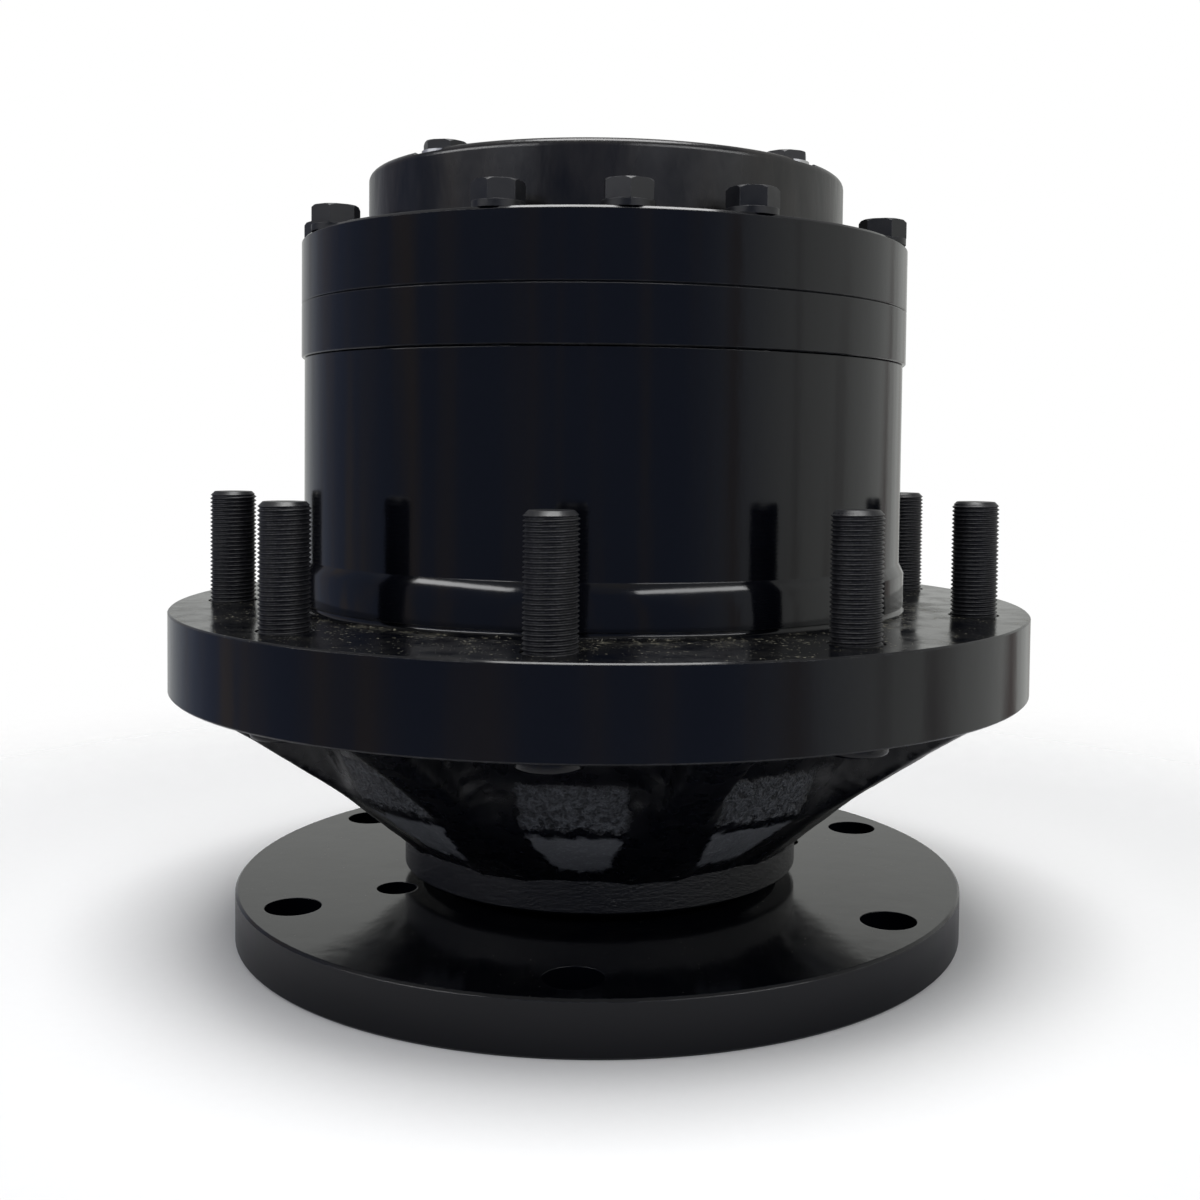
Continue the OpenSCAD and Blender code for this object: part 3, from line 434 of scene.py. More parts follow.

# %% [markdown]
# Paint, oxide, steel, rubber and bronze all need the same few effects: settled dust, a grain in the
# surface, lathe lines, and an edge mask that lightens edges for wear and, on paint and oxide, also
# as a painted highlight. Each effect is built once as a node group with named inputs, and each
# material gives it its own values.

# %% Helpers for node groups and materials
def new_group(name, inputs, outputs):
    group = bpy.data.node_groups.new(name, "ShaderNodeTree")
    for socket, kind, value in inputs:
        made = group.interface.new_socket(socket, in_out="INPUT", socket_type=kind)
        made.default_value = value
    for socket, kind in outputs:
        group.interface.new_socket(socket, in_out="OUTPUT", socket_type=kind)
    return group, group.nodes.new("NodeGroupInput"), group.nodes.new("NodeGroupOutput")


def feed(tree, socket, value):
    """Gives an input a plain value, or wires it to the output socket that feeds it."""
    if isinstance(value, bpy.types.NodeSocket):
        tree.links.new(value, socket)
    else:
        socket.default_value = value


def add(tree, kind, settings=None, **inputs):
    """A node with its inputs fed; i0, i1 and so on stand for inputs by their place."""
    node = tree.nodes.new("ShaderNode" + kind)
    for key, value in (settings or {}).items():
        setattr(node, key, value)
    for key, value in inputs.items():
        which = int(key[1:]) if key[1:].isdigit() else key.replace("_", " ")
        feed(tree, node.inputs[which], value)
    return node


def maths(tree, operation, a, b=0.0, clamp=False):
    node = add(tree, "Math", {"operation": operation, "use_clamp": clamp}, i0=a, i1=b)
    return node.outputs[0]


def place(tree, group, **inputs):
    """One of the groups below, placed in a material with the material's own values."""
    node = tree.nodes.new("ShaderNodeGroup")
    node.node_tree = group
    for key, value in inputs.items():
        feed(tree, node.inputs[key.replace("_", " ")], value)
    return node


def ramp(tree, value, low, high):
    """0 below low and 1 above high."""
    node = add(tree, "MapRange", {"clamp": True}, Value=value, From_Min=low, From_Max=high)
    return node.outputs["Result"]


print("material helpers ready")

# %% [markdown]
# Edge wear and edge highlight: paint and oxide are thinnest on a sharp edge and are rubbed there
# first, and the same mask lightens their edges as a painted highlight of the bright edge lines. The
# Bevel node gives the normal that a rounded edge would have, and where it differs from the true
# normal there is an edge. A noise breaks the line up.

# %% Group: edge wear and painted edge highlight
FLOAT = "NodeSocketFloat"

worn_edge, into, out = new_group(
    "worn_edge", [("Radius", FLOAT, 0.5 * MM), ("Breakup", FLOAT, 900.0)], [("Mask", FLOAT)])
coords = add(worn_edge, "TexCoord").outputs["Object"]
bevel = add(worn_edge, "Bevel", {"samples": 4}, Radius=into.outputs["Radius"])
true_normal = add(worn_edge, "NewGeometry").outputs["Normal"]
alike = add(worn_edge, "VectorMath", {"operation": "DOT_PRODUCT"},
            i0=bevel.outputs[0], i1=true_normal).outputs["Value"]
edge = ramp(worn_edge, alike, 0.995, 0.9)
patches = add(worn_edge, "TexNoise", Vector=coords, Scale=into.outputs["Breakup"], Detail=3.0)
broken = ramp(worn_edge, patches.outputs["Fac"], 0.42, 0.62)
worn_edge.links.new(maths(worn_edge, "MULTIPLY", edge, broken), out.inputs["Mask"])
print("group", worn_edge.name)

# %% [markdown]
# Settled dust lies on faces that look up, as a thin haze that comes and goes and as single specks
# of any size. The haze is a slow noise, the specks are the peaks of a fine one, and an input says
# how much of both there is at each place.

# %% Group: settled dust
settled_dust, into, out = new_group(
    "settled_dust", [("Amount", FLOAT, 0.3), ("Speck", FLOAT, 900.0)],
    [("Haze", FLOAT), ("Specks", FLOAT)])
coords = add(settled_dust, "TexCoord").outputs["Object"]
normal = add(settled_dust, "NewGeometry").outputs["Normal"]
upward = ramp(settled_dust, add(settled_dust, "SeparateXYZ", Vector=normal).outputs["Z"], 0.3, 0.9)
here = maths(settled_dust, "MULTIPLY", upward, into.outputs["Amount"])
drift = add(settled_dust, "TexNoise", Vector=coords, Scale=75.0, Detail=7.0, Roughness=0.7)
haze = maths(settled_dust, "MULTIPLY", here, ramp(settled_dust, drift.outputs["Fac"], 0.38, 0.72))
fine = add(settled_dust, "TexNoise", Vector=coords, Scale=into.outputs["Speck"], Detail=1.5)
crowd = maths(settled_dust, "MULTIPLY", here, maths(settled_dust, "POWER",
                                                    drift.outputs["Fac"], 2.0))
level = maths(settled_dust, "SUBTRACT", 0.77, maths(settled_dust, "MULTIPLY", crowd, 0.55))
above = maths(settled_dust, "SUBTRACT", fine.outputs["Fac"], level)
specks = maths(settled_dust, "MULTIPLY", ramp(settled_dust, above, 0.0, 0.05), upward)
settled_dust.links.new(haze, out.inputs["Haze"])
settled_dust.links.new(specks, out.inputs["Specks"])
print("group", settled_dust.name)

# %% [markdown]
# Sand grain: a cast skin has lumps of several sizes and small pits. A noise gives the lumps and a
# cell pattern the pits, and their sum is a height that a Bump node reads. Lathe lines: a tool
# leaves fine grooves around the axis, so a noise is stretched along the turn by reading only the
# radius and the height.

# %% Groups: sand grain and lathe lines
sand_grain, into, out = new_group("sand_grain", [("Scale", FLOAT, 300.0)], [("Height", FLOAT)])
coords = add(sand_grain, "TexCoord").outputs["Object"]
lumps = add(sand_grain, "TexNoise", Vector=coords, Scale=into.outputs["Scale"], Detail=5.0,
            Roughness=0.62)
pits = add(sand_grain, "TexVoronoi", {"feature": "SMOOTH_F1"}, Vector=coords,
           Scale=maths(sand_grain, "MULTIPLY", into.outputs["Scale"], 2.4))
height = maths(sand_grain, "MULTIPLY_ADD", pits.outputs["Distance"], 0.35)
sand_grain.links.new(lumps.outputs["Fac"], height.node.inputs[2])
sand_grain.links.new(height, out.inputs["Height"])

lathe_lines, into, out = new_group("lathe_lines", [("Fineness", FLOAT, 2500.0)],
                                   [("Height", FLOAT)])
coords = add(lathe_lines, "TexCoord").outputs["Object"]
flat = add(lathe_lines, "VectorMath", {"operation": "MULTIPLY"}, i0=coords, i1=(1, 1, 0))
radius = add(lathe_lines, "VectorMath", {"operation": "LENGTH"}, i0=flat.outputs[0])
z = add(lathe_lines, "SeparateXYZ", Vector=coords).outputs["Z"]
around = add(lathe_lines, "CombineXYZ", X=radius.outputs["Value"], Z=z)
grooves = add(lathe_lines, "TexNoise", Vector=around.outputs[0], Scale=into.outputs["Fineness"],
              Detail=2.0)
lathe_lines.links.new(grooves.outputs["Fac"], out.inputs["Height"])
print("groups", sand_grain.name, lathe_lines.name)

# %% [markdown]
# A material is one Principled shader. Values that are the same all over are set on its sockets,
# and only what changes over the surface is wired in.

# %% Helper: a material with its shader
def new_material(name, **values):
    material = bpy.data.materials.new(name)
    material.use_nodes = True
    tree = material.node_tree
    shader = next(node for node in tree.nodes if node.type == "BSDF_PRINCIPLED")
    for key, value in values.items():
        shader.inputs[key.replace("_", " ")].default_value = value
    return material, tree, shader


def wire_mix(tree, factor, a, b):
    """Colour a where the factor is 0 and b where it is 1."""
    return add(tree, "Mix", {"data_type": "RGBA"}, Factor=factor, i6=a, i7=b).outputs[2]


def bump(tree, height, depth, normal=None):
    """A Bump node whose height of 0 to 1 stands for depth in metres."""
    node = add(tree, "Bump", Strength=1.0, Distance=depth, Height=height)
    if normal is not None:
        tree.links.new(normal, node.inputs["Normal"])
    return node.outputs["Normal"]


print("shader helpers ready")

# %% [markdown]
# The hub is sprayed with black gloss enamel, a blue black that is almost a mirror. Three things give
# it away as paint: the slight orange peel, which makes reflections waver, the lighter edges, which
# are worn and also a painted highlight, and dust on what looks up. On the wheel flange the dust is
# olive and gathers around the pilot's foot. The raised cap is duller. A paler colour in upright
# streaks on it is a painted reflection of the streaks that its semi-gloss face mirrors. The collar
# under the bell was never turned, so its paint lies over sand grain.

# %% Colours of the enamel and helpers for paint
ENAMEL = (0.0018, 0.0022, 0.0040, 1)
# Lighter edge colour of the paint: wear and a painted highlight.
PAINT_WORN_AND_HIGHLIT = (0.045, 0.046, 0.050, 1)
DUST = (0.16, 0.15, 0.11, 1)
# Colour of the cap's upright streaks: a painted reflection.
CAP_PAINTED_REFLECTION = (0.034, 0.031, 0.029, 1)
COVER_TOP = 242.7 * MM
COLLAR_LOW = 21 * MM
DUST_REACH = 26 * MM
PEEL_DEPTH, STREAK_DEPTH, GRAIN_DEPTH = 0.012 * MM, 0.35 * MM, 0.45 * MM
EDGE_ROUND = 0.4 * MM


def radius_and_height(tree, coords):
    flat = add(tree, "VectorMath", {"operation": "MULTIPLY"}, i0=coords, i1=(1, 1, 0))
    radius = add(tree, "VectorMath", {"operation": "LENGTH"}, i0=flat.outputs[0])
    return radius.outputs["Value"], add(tree, "SeparateXYZ", Vector=coords).outputs["Z"]


def dusty(tree, colour, amount, speck=850.0, strength=0.11):
    """The colour under a haze and specks of dust, and the masks of both."""
    dust = place(tree, settled_dust, Amount=amount, Speck=speck)
    haze = maths(tree, "MULTIPLY", dust.outputs["Haze"], strength)
    colour = wire_mix(tree, haze, colour, DUST)
    return wire_mix(tree, dust.outputs["Specks"], colour, DUST), dust.outputs


def rounded(tree, radius):
    """Normals as if every sharp edge had been rounded off, so that it draws a thin bright line."""
    return add(tree, "Bevel", {"samples": 6}, Radius=radius).outputs[0]


print("paint helpers ready")

# %% [markdown]
# One material holds all of this, so first come the masks. They are made from the height and the
# radius, and say where the flange's dust, the cap's painted streak reflection and the collar's grain
# belong.

# %% Material: black gloss enamel, where each effect belongs
enamel, tree, shader = new_material("black_gloss_enamel")
coords = add(tree, "TexCoord").outputs["Object"]
radius, height = radius_and_height(tree, coords)
near_foot = ramp(tree, radius, PILOT_R + DUST_REACH, PILOT_R + CLEAR)
from_flange = maths(tree, "ABSOLUTE", maths(tree, "SUBTRACT", height, FLANGE_TOP))
on_flange = maths(tree, "LESS_THAN", from_flange, CLEAR)
amount = maths(tree, "MULTIPLY", on_flange, ramp(tree, near_foot, -0.8, 1.0))
amount = maths(tree, "ADD", maths(tree, "MULTIPLY", amount, 0.8), 0.15)
on_cap = ramp(tree, height, COVER_TOP, COVER_TOP + 2 * CLEAR)
on_collar = maths(tree, "MULTIPLY", ramp(tree, height, COLLAR_LOW, COLLAR_LOW + CLEAR),
                  maths(tree, "LESS_THAN", height, COLLAR_TOP + CLEAR))
print("masks of", enamel.name)

# %% [markdown]
# Then colour, gloss and skin are wired in. Each layer covers the one before: paint, the cap's paler
# streaks, which are a painted reflection, the lighter edges, which are wear and a painted highlight,
# and dust. Dust and the cap also dull the gloss, and the skin adds streaks, orange peel and grain to
# a normal that is already rounded at the edges.

# %% Material: black gloss enamel, colour, gloss and skin
edge_wear_and_highlight = place(tree, worn_edge, Radius=0.5 * MM, Breakup=500.0).outputs["Mask"]
tall = add(tree, "Mapping", Vector=coords, Scale=(1.0, 1.0, 0.3))
streaks = add(tree, "TexNoise", Vector=tall.outputs[0], Scale=60.0, Detail=4.0, Roughness=0.6)
# Paler upright streaks on the cap: painted reflection.
cap_painted_reflection = maths(tree, "MULTIPLY", on_cap, ramp(tree, streaks.outputs["Fac"], 0.35, 0.75))
colour = wire_mix(tree, cap_painted_reflection, ENAMEL, CAP_PAINTED_REFLECTION)
# Lighter edges: wear, and a painted highlight of the bright edge lines.
colour = wire_mix(tree, maths(tree, "MULTIPLY", edge_wear_and_highlight, 0.6), colour, PAINT_WORN_AND_HIGHLIT)
colour, dust = dusty(tree, colour, amount)
tree.links.new(colour, shader.inputs["Base Color"])
smears = add(tree, "TexNoise", Vector=coords, Scale=35.0, Detail=5.0, Roughness=0.6)
gloss = maths(tree, "MULTIPLY_ADD", smears.outputs["Fac"], 0.12)
gloss.node.inputs[2].default_value = 0.05
dull = maths(tree, "ADD", gloss, maths(tree, "MULTIPLY", on_cap, 0.12))
dull = maths(tree, "ADD", dull, maths(tree, "MULTIPLY", on_collar, 0.12))
dull = maths(tree, "ADD", dull, maths(tree, "MULTIPLY", dust["Haze"], 0.35))
dull = maths(tree, "MAXIMUM", dull, maths(tree, "MULTIPLY", dust["Specks"], 0.8))
tree.links.new(dull, shader.inputs["Roughness"])
peel = add(tree, "TexNoise", Vector=coords, Scale=160.0, Detail=2.0)
cast = maths(tree, "MULTIPLY", place(tree, sand_grain, Scale=900.0).outputs["Height"], on_collar)
wavy = maths(tree, "MULTIPLY", streaks.outputs["Fac"],
             maths(tree, "ADD", 0.25, maths(tree, "MULTIPLY", on_cap, 0.75)))
normal = bump(tree, wavy, STREAK_DEPTH, rounded(tree, EDGE_ROUND))
normal = bump(tree, peel.outputs["Fac"], PEEL_DEPTH, normal)
normal = bump(tree, cast, GRAIN_DEPTH, normal)
tree.links.new(normal, shader.inputs["Normal"])
print("material", enamel.name)

# %% [markdown]
# The bell is sprayed with the same enamel over sand cast iron. On the ribs and in the corners the
# paint lies thick and stays glossy. The floor of each pocket, in between, has a duller, rougher
# skin, and a pale grey colour there is painted light: it paints the lit patches that those rough
# faces show. Each pocket has two such fields, one on the steep slope and one on the flat slope below
# it. Their masks come from the height and from the distance to the pocket's middle plane. Within
# their pockets the fields are pulled towards the front of the hub, the side that faces the camera
# and the front lamps. The turn about the axis is counted in pockets, with some whole turns added so
# that it stays positive, and its fraction is the place in one.

# %% Mask: fields of painted light in the pockets
FIELD_HIGH = (56 * MM, 70.5 * MM, 19.5 * MM)
FIELD_LOW = (37 * MM, 52.5 * MM, 18 * MM)
FIELD_LOW_TAPER = 0.55
SOFT = 1.6 * MM
FRONT_SIDE = math.radians(-85)
FRONT_SHIFT, FRONT_SHIFT_MOST = 15 * MM, 8 * MM
RAGGED = 9 * MM
WHOLE_TURNS = 10

cast_enamel, tree, shader = new_material("black_cast_enamel")
coords = add(tree, "TexCoord").outputs["Object"]
radius, height = radius_and_height(tree, coords)
axes = add(tree, "SeparateXYZ", Vector=coords)
turn = maths(tree, "ARCTAN2", axes.outputs["Y"], axes.outputs["X"])
share = maths(tree, "MULTIPLY", maths(tree, "SUBTRACT", turn, STUD_TURN),
              STUD_COUNT / (2 * math.pi))
share = maths(tree, "ADD", share, WHOLE_TURNS + 0.5)
share = maths(tree, "SUBTRACT", maths(tree, "FRACT", share), 0.5)
aside = maths(tree, "SINE", maths(tree, "MULTIPLY", share, 2 * math.pi / STUD_COUNT))
aside = maths(tree, "MULTIPLY", aside, radius)
# Painted light: the fields are pulled towards the front side of the hub.
toward_front = maths(tree, "SINE", maths(tree, "SUBTRACT", turn, FRONT_SIDE))
toward_front = maths(tree, "MINIMUM", maths(tree, "MULTIPLY", toward_front, FRONT_SHIFT), FRONT_SHIFT_MOST)
aside = maths(tree, "ADD", aside, maths(tree, "MAXIMUM", toward_front, -FRONT_SHIFT_MOST))
aside = maths(tree, "ABSOLUTE", aside)
ragged = add(tree, "TexNoise", Vector=coords, Scale=260.0, Detail=4.0, Roughness=0.7)
shift = maths(tree, "MULTIPLY", maths(tree, "SUBTRACT", ragged.outputs["Fac"], 0.5), RAGGED)
aside = maths(tree, "ADD", aside, shift)
level = maths(tree, "ADD", height, shift)


def painted_light_field(low, high, half):
    """1 inside a field of painted light that reaches from low to high, and half to each side of the
    middle.
    """
    side = ramp(tree, maths(tree, "SUBTRACT", half, aside), 0.0, SOFT)
    up, down = ramp(tree, level, low, low + SOFT), ramp(tree, level, high + SOFT, high)
    return maths(tree, "MULTIPLY", side, maths(tree, "MULTIPLY", up, down))


# The steep and the flat field of painted light, and both together.
steep_painted_light = painted_light_field(*FIELD_HIGH)
narrowing = maths(tree, "MULTIPLY", maths(tree, "SUBTRACT", FIELD_LOW[1], height), FIELD_LOW_TAPER)
flat_painted_light = painted_light_field(FIELD_LOW[0], FIELD_LOW[1], maths(tree, "SUBTRACT", FIELD_LOW[2], narrowing))
painted_light_mask = maths(tree, "MAXIMUM", steep_painted_light, flat_painted_light)
print("fields", FIELD_HIGH, FIELD_LOW)

# %% [markdown]
# With the masks, the rest is one colour and one height. The wet paint is nearly the enamel of the
# turned faces. In the fields the colour is painted light: the crests of the grain are painted pale
# as highlights, the low places stay dark, and the flat field is painted paler than the steep one.
# The grain is shallow under wet paint and deep on the steep fields, where nothing filled it.

# %% Material: enamel over cast iron
WET_PAINT = (0.0032, 0.0036, 0.0056, 1)
FIELD_DARK = (0.008, 0.009, 0.012, 1)
# Colours of the painted light in the pocket fields.
PAINTED_LIGHT_PALE, PAINTED_LIGHT_GREY = (0.115, 0.122, 0.135, 1), (0.058, 0.063, 0.072, 1)

grain = place(tree, sand_grain, Scale=520.0).outputs["Height"]
swell = add(tree, "TexNoise", Vector=coords, Scale=150.0, Detail=3.0).outputs["Fac"]
wet = wire_mix(tree, ramp(tree, swell, 0.4, 0.7), ENAMEL, WET_PAINT)
# Pale crests of the grain, and most of the flat field: painted highlights.
painted_crest_light = maths(tree, "MAXIMUM", ramp(tree, grain, 0.54, 0.78),
               maths(tree, "MULTIPLY", flat_painted_light, 0.7))
# Painted light: paler on the flat fields, greyer on the steep ones.
light = wire_mix(tree, steep_painted_light, PAINTED_LIGHT_PALE, PAINTED_LIGHT_GREY)
painted_field_light = wire_mix(tree, painted_crest_light, FIELD_DARK, light)
colour = dusty(tree, wire_mix(tree, painted_light_mask, wet, painted_field_light), 0.2)[0]
tree.links.new(colour, shader.inputs["Base Color"])
dull = maths(tree, "ADD", ramp(tree, swell, -0.4, 2.8), maths(tree, "MULTIPLY", flat_painted_light, 0.28))
dull = maths(tree, "ADD", dull, maths(tree, "MULTIPLY", steep_painted_light, 0.14))
tree.links.new(dull, shader.inputs["Roughness"])
depth = maths(tree, "ADD", maths(tree, "MULTIPLY", painted_light_mask, 0.2), 0.06)
depth = maths(tree, "ADD", depth, maths(tree, "MULTIPLY", steep_painted_light, 0.74))
skin_height = maths(tree, "MULTIPLY", grain, depth)
tree.links.new(bump(tree, skin_height, 1.0 * MM), shader.inputs["Normal"])
print("material", cast_enamel.name)

# %% [markdown]
# Screws, studs and plugs are blackened in a hot oxide bath, not painted. The film is a very thin,
# dull black on steel, and each piece differs a little. Its edges, the thread crests among them, are
# painted greyer, partly where a spanner or a nut has rubbed it and partly as a painted highlight.
# Only the heads of the wheel studs, under the flange, were in place when the bell was sprayed, and
# carry its enamel. So little light comes back from the film that a dark plain base with a soft gloss
# looks more like it than a metal would.

# %% Material: black oxide
OXIDE, OXIDE_PALE = (0.004, 0.0045, 0.006, 1), (0.012, 0.0125, 0.015, 1)
# Greyer edge colour of the oxide: rubbed oxide and a painted highlight.
OXIDE_RUBBED_AND_HIGHLIT = (0.10, 0.10, 0.11, 1)

oxide, tree, shader = new_material("black_oxide_steel")
coords = add(tree, "TexCoord").outputs["Object"]
blotch = add(tree, "TexNoise", Vector=coords, Scale=140.0, Detail=6.0, Roughness=0.7)
grit = add(tree, "TexNoise", Vector=coords, Scale=2600.0, Detail=2.0)
colour = wire_mix(tree, blotch.outputs["Fac"], OXIDE, OXIDE_PALE)
edge_wear_and_highlight = place(tree, worn_edge, Radius=0.35 * MM, Breakup=1200.0).outputs["Mask"]
# Greyer edges and thread crests: rubbed oxide, and a painted highlight.
colour = wire_mix(tree, maths(tree, "MULTIPLY", edge_wear_and_highlight, 0.7), colour, OXIDE_RUBBED_AND_HIGHLIT)
height = add(tree, "SeparateXYZ", Vector=coords).outputs["Z"]
sprayed = maths(tree, "LESS_THAN", height, FLANGE_LOW)
colour = wire_mix(tree, sprayed, colour, ENAMEL)
colour = dusty(tree, colour, 0.25, speck=1500.0)[0]
tree.links.new(colour, shader.inputs["Base Color"])
dull = maths(tree, "SUBTRACT", ramp(tree, blotch.outputs["Fac"], -0.2, 1.6),
             maths(tree, "MULTIPLY", sprayed, 0.25))
tree.links.new(dull, shader.inputs["Roughness"])
tree.links.new(bump(tree, grit.outputs["Fac"], 0.02 * MM, rounded(tree, 0.25 * MM)),
               shader.inputs["Normal"])
print("material", oxide.name)

# %% [markdown]
# Inside the hub the pieces are bare. Ground steel is bright, hardened gears and carriers are a
# darker steel with a thin oil film, and the thrust washers and roller cages are bronze. Nothing of
# this shows while the hub is closed, but the pieces are reused one by one. The three metals differ
# only in colour, gloss and the fineness of their lathe lines, so one function makes them all.

# %% Materials: steels and bronze
WEAR_LIGHTER = 1.25
LATHE_DEPTH = 0.006 * MM


def bare_metal(name, dark, light, roughness, fineness):
    material, tree, shader = new_material(name, Metallic=1.0)
    coords = add(tree, "TexCoord").outputs["Object"]
    stain = add(tree, "TexNoise", Vector=coords, Scale=60.0, Detail=5.0, Roughness=0.6)
    edge_wear_and_highlight = place(tree, worn_edge, Radius=0.3 * MM, Breakup=700.0).outputs["Mask"]
    colour = wire_mix(tree, stain.outputs["Fac"], dark, light)
    brighter = tuple(min(1, WEAR_LIGHTER * part) for part in light[:3]) + (1,)
    tree.links.new(wire_mix(tree, edge_wear_and_highlight, colour, brighter), shader.inputs["Base Color"])
    lines = place(tree, lathe_lines, Fineness=fineness).outputs["Height"]
    tree.links.new(ramp(tree, stain.outputs["Fac"], -roughness, 1.9 - roughness),
                   shader.inputs["Roughness"])
    tree.links.new(bump(tree, lines, LATHE_DEPTH), shader.inputs["Normal"])
    print("material", name)
    return material


bright_steel = bare_metal("ground_steel", roughness=0.22, fineness=2500.0,
                          dark=(0.50, 0.50, 0.51, 1), light=(0.62, 0.62, 0.63, 1))
dark_steel = bare_metal("hardened_steel", roughness=0.32, fineness=1800.0,
                        dark=(0.20, 0.20, 0.205, 1), light=(0.33, 0.33, 0.34, 1))
bronze = bare_metal("thrust_bronze", roughness=0.3, fineness=2000.0,
                    dark=(0.55, 0.36, 0.15, 1), light=(0.72, 0.50, 0.24, 1))

# %% [markdown]
# The shaft seal and the O-rings are black rubber. Wax and oil come out of rubber as a faint grey
# bloom, so a slow noise drives its colour, its gloss and a very low swelling alike.

# %% Material: seal rubber
RUBBER, RUBBER_BLOOM = (0.012, 0.012, 0.012, 1), (0.034, 0.033, 0.031, 1)

rubber, tree, shader = new_material("seal_rubber")
coords = add(tree, "TexCoord").outputs["Object"]
bloom = add(tree, "TexNoise", Vector=coords, Scale=90.0, Detail=5.0)
tree.links.new(wire_mix(tree, bloom.outputs["Fac"], RUBBER, RUBBER_BLOOM),
               shader.inputs["Base Color"])
tree.links.new(ramp(tree, bloom.outputs["Fac"], -0.6, 1.3), shader.inputs["Roughness"])
tree.links.new(bump(tree, bloom.outputs["Fac"], 0.03 * MM), shader.inputs["Normal"])
print("material", rubber.name)

# %% [markdown]
# Every CAD node gets the material of its slot in the record, and the new pieces are given theirs
# directly. The two skins of the hub are told apart by piece: the turned one is gloss, the bell is
# rough.

# %% Materials on nodes and pieces
FINISH = {"black_gloss_paint": enamel, "black_cast_paint": enamel, "black_oxide": oxide,
          "bright_steel": bright_steel, "dark_steel": dark_steel, "rubber": rubber,
          "bronze": bronze}


def dress(piece, material):
    piece.data.materials.clear()
    piece.data.materials.append(material)


for name, node in frame["nodes"].items():
    for slot in node.material_slots:
        slot.material = FINISH[slot_of[name]]
for piece in studs:
    dress(piece, oxide)
dress(turned, enamel)
dress(bell, cast_enamel)
print(len(frame["nodes"]), "nodes dressed")

# %% [markdown]
# The floor is a round, near white sheet. Its outer part fades into the white world by a mix with a
# Transparent shader, so no horizon shows, and the middle keeps the hub's shadow. In the photograph
# the paint mirrors a floor that is darker than it looks, so rays that come off a gloss see a grey.

# %% Floor
FLOOR_R, FLOOR_T = 560 * MM, 2 * MM
FADE_START, FADE_END = 150 * MM, 540 * MM
FLOOR_STEPS = 96
PAPER, PAPER_PALE = (0.94, 0.94, 0.94, 1), (0.96, 0.96, 0.96, 1)
FLOOR_IN_GLOSS = (0.42, 0.42, 0.43, 1)

floor = spin_solid("floor", [(0, 0), (FLOOR_R, 0), (FLOOR_R, -FLOOR_T), (0, -FLOOR_T)],
                   FLOOR_STEPS)
floor_paper, tree, shader = new_material("floor_paper", Roughness=0.9)
shader.inputs["Specular IOR Level"].default_value = 0.1
coords = add(tree, "TexCoord").outputs["Object"]
fibre = add(tree, "TexNoise", Vector=coords, Scale=300.0, Detail=4.0)
paper = wire_mix(tree, fibre.outputs["Fac"], PAPER, PAPER_PALE)
mirrored = add(tree, "LightPath").outputs["Is Glossy Ray"]
tree.links.new(wire_mix(tree, mirrored, paper, FLOOR_IN_GLOSS), shader.inputs["Base Color"])
radius = add(tree, "VectorMath", {"operation": "LENGTH"}, i0=coords).outputs["Value"]
fade = add(tree, "MapRange", {"interpolation_type": "SMOOTHSTEP"}, Value=radius,
           From_Min=FADE_START, From_Max=FADE_END)
clear = add(tree, "BsdfTransparent")
edge_mix = add(tree, "MixShader", Fac=fade.outputs["Result"])
tree.links.new(shader.outputs[0], edge_mix.inputs[1])
tree.links.new(clear.outputs[0], edge_mix.inputs[2])
surface = next(node for node in tree.nodes if node.type == "OUTPUT_MATERIAL")
tree.links.new(edge_mix.outputs[0], surface.inputs["Surface"])
dress(floor, floor_paper)
report(floor)

# %% [markdown]
# The photograph has a white background, but the black paint in it mirrors a dim hall: it is nearly
# black in front and only grey at the sides. One plain white world would turn the enamel grey. So
# the world is white, at strength 1, for the camera and for rays that pass through, with a small
# share of that white in the gloss. For everything else it is a dim blue grey hall, lighter to the
# right and behind, with a grey ceiling and soft brown patches where things stand in it.

# %% World
GLOSS_SHARE = 0.05
HALL_DIM, HALL_LIT = (0.065, 0.09, 0.17, 1), (0.56, 0.57, 0.55, 1)
CEILING = (0.25, 0.25, 0.25, 1)
HALL_THINGS = (0.17, 0.14, 0.13, 1)
WHITE = (1, 1, 1, 1)

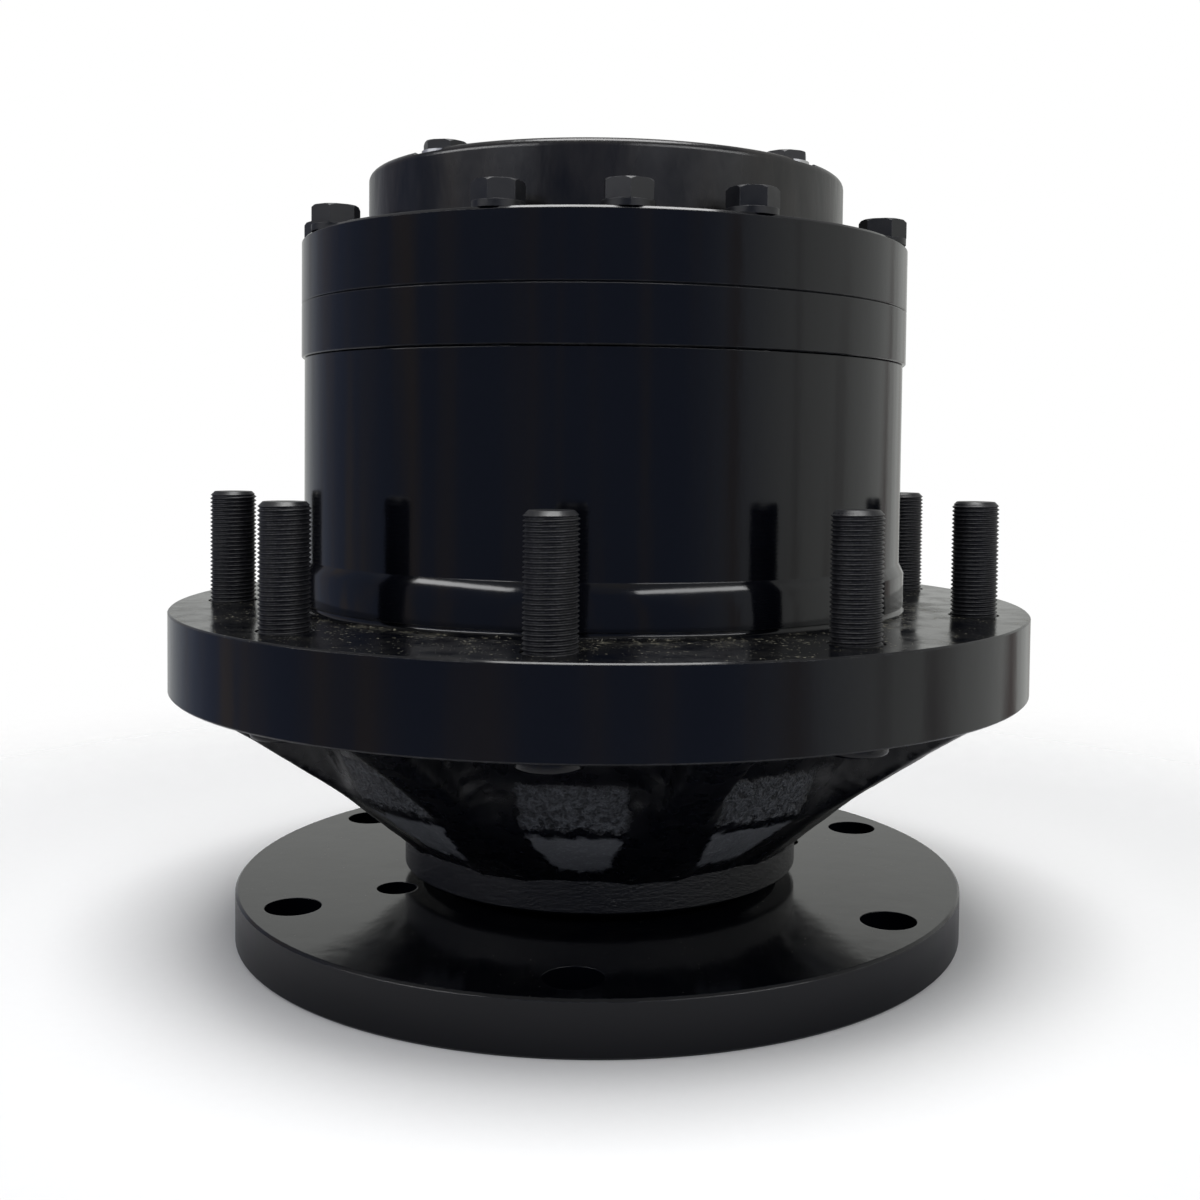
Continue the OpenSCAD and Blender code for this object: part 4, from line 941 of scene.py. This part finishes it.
world = bpy.data.worlds.new("hall")
bpy.context.scene.world = world
world.use_nodes = True
tree = world.node_tree
tree.nodes.clear()
path = add(tree, "LightPath")
seen = maths(tree, "ADD", path.outputs["Is Camera Ray"], path.outputs["Is Transmission Ray"])
seen = maths(tree, "ADD", seen, maths(tree, "MULTIPLY", path.outputs["Is Glossy Ray"],
                                      GLOSS_SHARE), clamp=True)
direction = add(tree, "TexCoord").outputs["Generated"]
toward = add(tree, "SeparateXYZ", Vector=direction)
lit_side = maths(tree, "ADD", toward.outputs["Y"], toward.outputs["X"])
lit_side = add(tree, "MapRange", {"interpolation_type": "SMOOTHSTEP"}, Value=lit_side,
               From_Min=-0.5, From_Max=0.9).outputs["Result"]
hall = wire_mix(tree, lit_side, HALL_DIM, HALL_LIT)
upright = add(tree, "VectorMath", {"operation": "MULTIPLY"}, i0=direction, i1=(1, 1, 0.2))
things = add(tree, "TexNoise", Vector=upright.outputs[0], Scale=5.0, Detail=3.0)
hall = wire_mix(tree, ramp(tree, things.outputs["Fac"], 0.5, 0.68), hall, HALL_THINGS)
hall = wire_mix(tree, ramp(tree, toward.outputs["Z"], 0.35, 0.8), hall, CEILING)
air = add(tree, "Background", Color=wire_mix(tree, seen, hall, WHITE), Strength=1.0)
end = add(tree, "OutputWorld")
tree.links.new(air.outputs[0], end.inputs["Surface"])
print("world", world.name)

# %% [markdown]
# Soft light comes from area lamps. The one overhead lights the floor and draws the thin bright
# line along each chamfer. Two long, low ones stand in front, to the left and to the right, well
# above the lens: the upright walls don't mirror them, so they fill the shadows without greying the
# paint. The sloped shoulder of the pilot does, and draws the brightest line of the photograph.

# %% Lamps
def lamp(name, place_at, look_at, size, watts):
    data = bpy.data.lights.new(name, "AREA")
    data.shape = "RECTANGLE"
    data.size, data.size_y = size
    data.energy = watts
    made = bpy.data.objects.new(name, data)
    bpy.context.collection.objects.link(made)
    made.location = place_at
    made.rotation_euler = (Vector(look_at) - Vector(place_at)).to_track_quat("-Z", "Y").to_euler()
    made.visible_camera = False
    print("lamp", name, watts, "W")


MIDDLE = (0, 0, 0.12)
lamp("overhead", (0, -0.10, 1.5), MIDDLE, (0.9, 0.8), 17.5)
lamp("front_left", (-1.29, -0.76, 0.87), MIDDLE, (1.5, 0.2), 7)
lamp("front_right", (0.93, -1.17, 0.87), MIDDLE, (1.5, 0.2), 6)
bpy.context.scene.view_settings.view_transform = "Standard"
print("view", bpy.context.scene.view_settings.view_transform)
